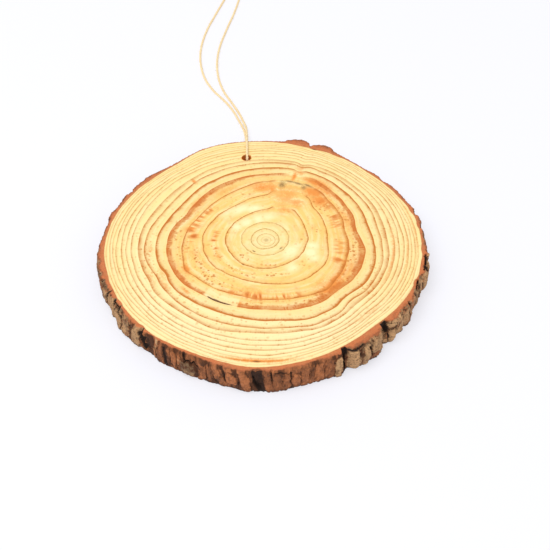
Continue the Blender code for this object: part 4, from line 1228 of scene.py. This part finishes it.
class NodeTree:
    """A Geometry Nodes tree built in order, with named inputs."""

    def __init__(self, name, **inputs):
        self.tree = bpy.data.node_groups.new(name, "GeometryNodeTree")
        self.tree.interface.new_socket("Geometry", in_out="INPUT", socket_type="NodeSocketGeometry")
        self.ids = {}
        for label, value in inputs.items():
            kind = "NodeSocketInt" if isinstance(value, int) else "NodeSocketFloat"
            if isinstance(value, bpy.types.Material):
                kind = "NodeSocketMaterial"
            socket = self.tree.interface.new_socket(label, in_out="INPUT", socket_type=kind)
            self.ids[label] = socket.identifier
        self.tree.interface.new_socket("Geometry", in_out="OUTPUT", socket_type="NodeSocketGeometry")
        self.values = inputs
        self.entry = self.tree.nodes.new("NodeGroupInput")
        self.exit = self.tree.nodes.new("NodeGroupOutput")

    def given(self, label="Geometry"):
        return self.entry.outputs[label]

    def add(self, kind, settings=None, inputs=None, output=0):
        node = self.tree.nodes.new(kind)
        for name, value in (settings or {}).items():
            setattr(node, name, value)
        for key, value in (inputs or {}).items():
            if isinstance(value, bpy.types.NodeSocket):
                self.tree.links.new(value, node.inputs[key])
            else:
                node.inputs[key].default_value = value
        return node.outputs[output]

    def math(self, operation, first, second=0.0):
        return self.add("ShaderNodeMath", {"operation": operation}, {0: first, 1: second})

    def vector(self, operation, first, second=None, scale=None):
        inputs = {0: first}
        if second is not None:
            inputs[1] = second
        if scale is not None:
            inputs["Scale"] = scale
        return self.add("ShaderNodeVectorMath", {"operation": operation}, inputs)

    def stored(self, geometry, name, value, kind="FLOAT"):
        """The geometry with a value kept on its points, for the finish to read."""
        return self.add("GeometryNodeStoreNamedAttribute", {"data_type": kind, "domain": "POINT"},
                        {"Geometry": geometry, "Name": name, "Value": value})

    def join(self, *parts):
        node = self.tree.nodes.new("GeometryNodeJoinGeometry")
        for part in parts:
            self.tree.links.new(part, node.inputs[0])
        return node.outputs[0]

    def finished(self, geometry, material):
        """Ends the tree with real meshes of one material."""
        real = self.add("GeometryNodeRealizeInstances", inputs={"Geometry": geometry})
        made = self.add("GeometryNodeSetMaterial", inputs={"Geometry": real, "Material": material})
        self.tree.links.new(made, self.exit.inputs[0])

    def result(self, base, name):
        """The plain mesh that the tree makes of an object, which is then removed."""
        modifier = base.modifiers.new(name, "NODES")
        modifier.node_group = self.tree
        for label, identifier in self.ids.items():
            modifier[identifier] = self.values[label]
        graph = bpy.context.evaluated_depsgraph_get()
        mesh = bpy.data.meshes.new_from_object(base.evaluated_get(graph))
        bpy.data.objects.remove(base)
        bpy.data.node_groups.remove(self.tree)
        mesh.name = name
        return mesh


def guide_curves(name, paths):
    curve = bpy.data.curves.new(name, "CURVE")
    curve.dimensions = "3D"
    for path in paths:
        spline = curve.splines.new("POLY")
        spline.points.add(len(path) - 1)
        for point, spot in zip(spline.points, path):
            point.co = (*spot, 1.0)
    guide = bpy.data.objects.new(name, curve)
    bpy.context.scene.collection.objects.link(guide)
    return guide


def twisted_twine(name, paths, settings, material, hairs, seed):
    """A mesh of plies twisted round each path, with stray fibres."""
    tree = NodeTree(
        name, Spacing=settings.spacing, Ply_radius=0.27 * settings.diameter,
        Ply_offset=0.26 * settings.diameter, Twist=settings.twist, Hairs=hairs,
        Hair_length=settings.hair_length, Seed=seed, Material=material)
    line = tree.add("GeometryNodeResampleCurve", {"mode": "LENGTH"},
                    {"Curve": tree.given(), "Length": tree.given("Spacing")})
    length = tree.add("GeometryNodeSplineParameter", output="Length")
    normal = tree.add("GeometryNodeInputNormal")
    side = tree.vector("CROSS_PRODUCT", tree.add("GeometryNodeInputTangent"), normal)
    turn = tree.math("DIVIDE", length, tree.given("Twist"))
    line = tree.stored(line, "along", tree.math("MULTIPLY", turn, 6.0))
    parts = []
    for ply in range(settings.plies):
        wobble = tree.add("ShaderNodeTexNoise", {"noise_dimensions": "1D"},
                          {"W": tree.math("MULTIPLY", turn, 3.1 + 0.24 * ply), "Detail": 1.0})
        phase = tree.math("MULTIPLY", tree.math("ADD", turn, ply / settings.plies), 2 * math.pi)
        phase = tree.math("ADD", phase, tree.math("MULTIPLY", wobble, 0.9))
        reach = tree.math("ADD", tree.math("MULTIPLY", wobble, 0.5), 0.75)
        reach = tree.math("MULTIPLY", tree.given("Ply_offset"), reach)
        one = tree.vector("SCALE", normal, scale=tree.math("MULTIPLY", tree.math("COSINE", phase), reach))
        two = tree.vector("SCALE", side, scale=tree.math("MULTIPLY", tree.math("SINE", phase), reach))
        moved = tree.add("GeometryNodeSetPosition", inputs={
            "Geometry": line, "Offset": tree.vector("ADD", one, two)})
        profile = tree.add("GeometryNodeCurvePrimitiveCircle", {"mode": "RADIUS"},
                           {"Resolution": 7, "Radius": tree.given("Ply_radius")})
        unit = tree.vector("SCALE", tree.add("GeometryNodeInputPosition"),
                           scale=tree.math("DIVIDE", 1.0, tree.given("Ply_radius")))
        around = tree.vector("ADD", unit, (0.0, 0.0, float(ply)))
        profile = tree.stored(profile, "around", around, "FLOAT_VECTOR")
        parts.append(tree.add("GeometryNodeCurveToMesh",
                              inputs={"Curve": moved, "Profile Curve": profile, "Fill Caps": True}))
    parts.append(stray_fibres(tree, line))
    tree.finished(tree.join(*parts), tree.given("Material"))
    mesh = tree.result(guide_curves(name + "_guide", paths), name)
    places = vertex_places(mesh)
    places[:, 2] = places[:, 2].clip(0.02 * MM, SOLID_BOX[1].z + 0.1 * MM)
    mesh.vertices.foreach_set("co", places.astype(np.float32).ravel())
    mesh.update()
    mesh.shade_smooth()
    return mesh


def stray_fibres(tree, line):
    """Short bent hairs that leave the twine at a slant, each one small tube that is then scaled."""
    seed = tree.given("Seed")
    points = tree.add("GeometryNodeCurveToPoints", {"mode": "COUNT"},
                      {"Curve": line, "Count": tree.given("Hairs")})
    scatter = tree.add("FunctionNodeRandomValue", {"data_type": "FLOAT_VECTOR"},
                       {"Min": (-1.2,) * 3, "Max": (1.2,) * 3, "Seed": seed})
    points = tree.add("GeometryNodeSetPosition", inputs={
        "Geometry": points, "Offset": tree.vector("SCALE", scatter, scale=tree.given("Ply_offset"))})
    hair = tree.add("GeometryNodeCurveQuadraticBezier", inputs={
        "Resolution": 5, "Start": (0.0, 0.0, 0.0), "Middle": (0.08, 0.0, 0.40), "End": (0.34, 0.10, 0.75)})
    circle = tree.add("GeometryNodeCurvePrimitiveCircle", {"mode": "RADIUS"},
                      {"Resolution": 3, "Radius": 0.016})
    hair = tree.add("GeometryNodeCurveToMesh", inputs={
        "Curve": hair, "Profile Curve": circle, "Fill Caps": True})
    spin = tree.add("FunctionNodeRandomValue", {"data_type": "FLOAT_VECTOR"},
                    {"Min": (0.2, 0.0, 0.0), "Max": (2.9, 6.28, 6.28), "Seed": seed})
    grow = tree.add("FunctionNodeRandomValue", {"data_type": "FLOAT"},
                    {"Min": 0.35, "Max": 1.5, "Seed": seed}, output=1)
    return tree.add("GeometryNodeInstanceOnPoints", inputs={
        "Points": points, "Instance": hair, "Rotation": spin,
        "Scale": tree.math("MULTIPLY", grow, tree.given("Hair_length"))})


def settled(path):
    """A run as it really lies: the solids' gap above the sawn face closed."""
    return [spot - Vector((0.0, 0.0, 0.28 * MM)) if spot.z > THICKNESS else spot for spot in path]


class LOG_SLICE_OT_twine(bpy.types.Operator):
    """Build the twine's two runs, its knot and tails"""

    bl_idname = "log_slice.twine"
    bl_label = "Twine"

    def execute(self, context):
        settings = context.scene.log_twine
        material = twine_finish(settings)
        knot = self.knot(settings, material)
        runs = (("twine_over_face", OVER_ROUTE, "twine_over", THICKNESS, 71),
                ("twine_under_slice", UNDER_ROUTE, "twine_under", underside_height(HOLE[1]), 72))
        for name, route, node, mouth, seed in runs:
            path = settled(smooth_path(route, 8))
            mesh = twisted_twine(name, [path], settings, material, settings.hairs, seed)
            run = add_piece(name, mesh, "twine", node)
            path_length(path)
        return {"FINISHED"}

    def knot(self, settings, material):
        """An overhand knot: both runs pass through a doubled turn, and leave as tails."""
        half = settings.diameter / 2
        steps = 28
        through = []
        for side, tail in zip((1.0, -1.0), TAIL_ROUTES):
            entry = [(KNOT.x / MM + side * 0.45, KNOT.y / MM - 2.9 + k * 0.8, 1.1) for k in range(4)]
            through.append(smooth_path([*entry, *tail], 6))
        turns = []
        for number in range(2):
            start = KNOT.y - (1.35 - 0.85 * number) * MM
            turn = []
            for step in range(steps + 1):
                share = step / steps
                angle = 2 * math.pi * (1.25 * share + 0.1)
                swell = math.sin(math.pi * share) ** 0.4
                side = (0.45 * MM + half) * swell
                turn.append(Vector((
                    KNOT.x + (side + 0.25 * MM) * math.cos(angle),
                    start + 1.25 * MM * share,
                    1.15 * MM + side * 0.92 * math.sin(angle))))
            turns.append(turn)
        mesh = twisted_twine(
            "twine_overhand_knot", through + turns, settings, material, hairs=KNOT_HAIRS, seed=73)
        return add_piece("twine_overhand_knot", mesh, "twine", "twine_knot")


def add_camera(settings):
    camera = bpy.data.objects.new("camera", bpy.data.cameras.new("camera"))
    camera.data.lens = settings.lens
    camera.data.sensor_width = 36.0
    camera.data.clip_start = 0.01
    camera.location = settings.camera
    camera.rotation_euler = (settings.tilt, 0.0, 0.0)
    bpy.context.scene.collection.objects.link(camera)
    bpy.context.scene.camera = camera


def add_key_light(settings):
    """A large soft lamp above the left front, turned towards the slice."""
    light = bpy.data.lights.new("key", "AREA")
    light.size = KEY_SIZE
    light.energy = settings.key
    made = bpy.data.objects.new("key", light)
    made.location = KEY_PLACE
    made.rotation_euler = (-KEY_PLACE).to_track_quat("-Z", "Y").to_euler()
    bpy.context.scene.collection.objects.link(made)


class LOG_SLICE_OT_stage(bpy.types.Operator):
    """Set up the camera, the soft lights and the pale floor"""

    bl_idname = "log_slice.stage"
    bl_label = "Stage"

    def execute(self, context):
        settings = context.scene.log_stage
        add_camera(settings)
        add_key_light(settings)
        world = bpy.data.worlds.new("studio")
        world.use_nodes = True
        sky = world.node_tree.nodes["Background"]
        sky.inputs["Color"].default_value = SKY_COLOUR
        sky.inputs["Strength"].default_value = settings.sky
        context.scene.world = world
        context.scene.view_settings.view_transform = "Standard"
        shape = bmesh.new()
        bmesh.ops.create_grid(shape, x_segments=1, y_segments=1, size=FLOOR_SIZE)
        mesh = bpy.data.meshes.new("floor")
        shape.to_mesh(mesh)
        shape.free()
        finish = Finish("floor")
        lit = tuple(settings.shadows * c for c in settings.floor)
        finish.set(
            Base_Color=lit, Roughness=0.9, Emission_Color=settings.floor, Emission_Strength=settings.glow)
        mesh.materials.append(finish.material)
        floor = bpy.data.objects.new("floor", mesh)
        context.scene.collection.objects.link(floor)
        return {"FINISHED"}


class LOG_SLICE_PT_panel(bpy.types.Panel):
    """Sizes, colours and buttons for each piece"""

    bl_idname = "LOG_SLICE_PT_panel"
    bl_label = "Log slice"
    bl_space_type = "VIEW_3D"
    bl_region_type = "UI"
    bl_category = "Log slice"

    def draw(self, context):
        for group, operator in GROUPS:
            box = self.layout.box()
            settings = getattr(context.scene, group)
            for name in settings.__annotations__:
                box.prop(settings, name)
            box.operator(operator)


GROUPS = (
    ("log_wood", "log_slice.wood"),
    ("log_bark", "log_slice.bark"),
    ("log_twine", "log_slice.twine"),
    ("log_stage", "log_slice.stage"),
)
SETTINGS = {
    "log_wood": WoodSettings,
    "log_bark": BarkSettings,
    "log_twine": TwineSettings,
    "log_stage": StageSettings,
}
CLASSES = (
    *SETTINGS.values(), LOG_SLICE_OT_wood, LOG_SLICE_OT_bark, LOG_SLICE_OT_twine, LOG_SLICE_OT_stage,
    LOG_SLICE_PT_panel,
)


def register():
    for made in CLASSES:
        bpy.utils.register_class(made)
    for name, kind in SETTINGS.items():
        setattr(bpy.types.Scene, name, PointerProperty(type=kind))


def unregister():
    for name in SETTINGS:
        delattr(bpy.types.Scene, name)
    for made in reversed(CLASSES):
        bpy.utils.unregister_class(made)


def main():
    register()
    bpy.ops.log_slice.stage()
    bpy.ops.log_slice.twine()
    bpy.ops.log_slice.wood()
    bpy.ops.log_slice.bark()


if __name__ == "__main__":
    main()
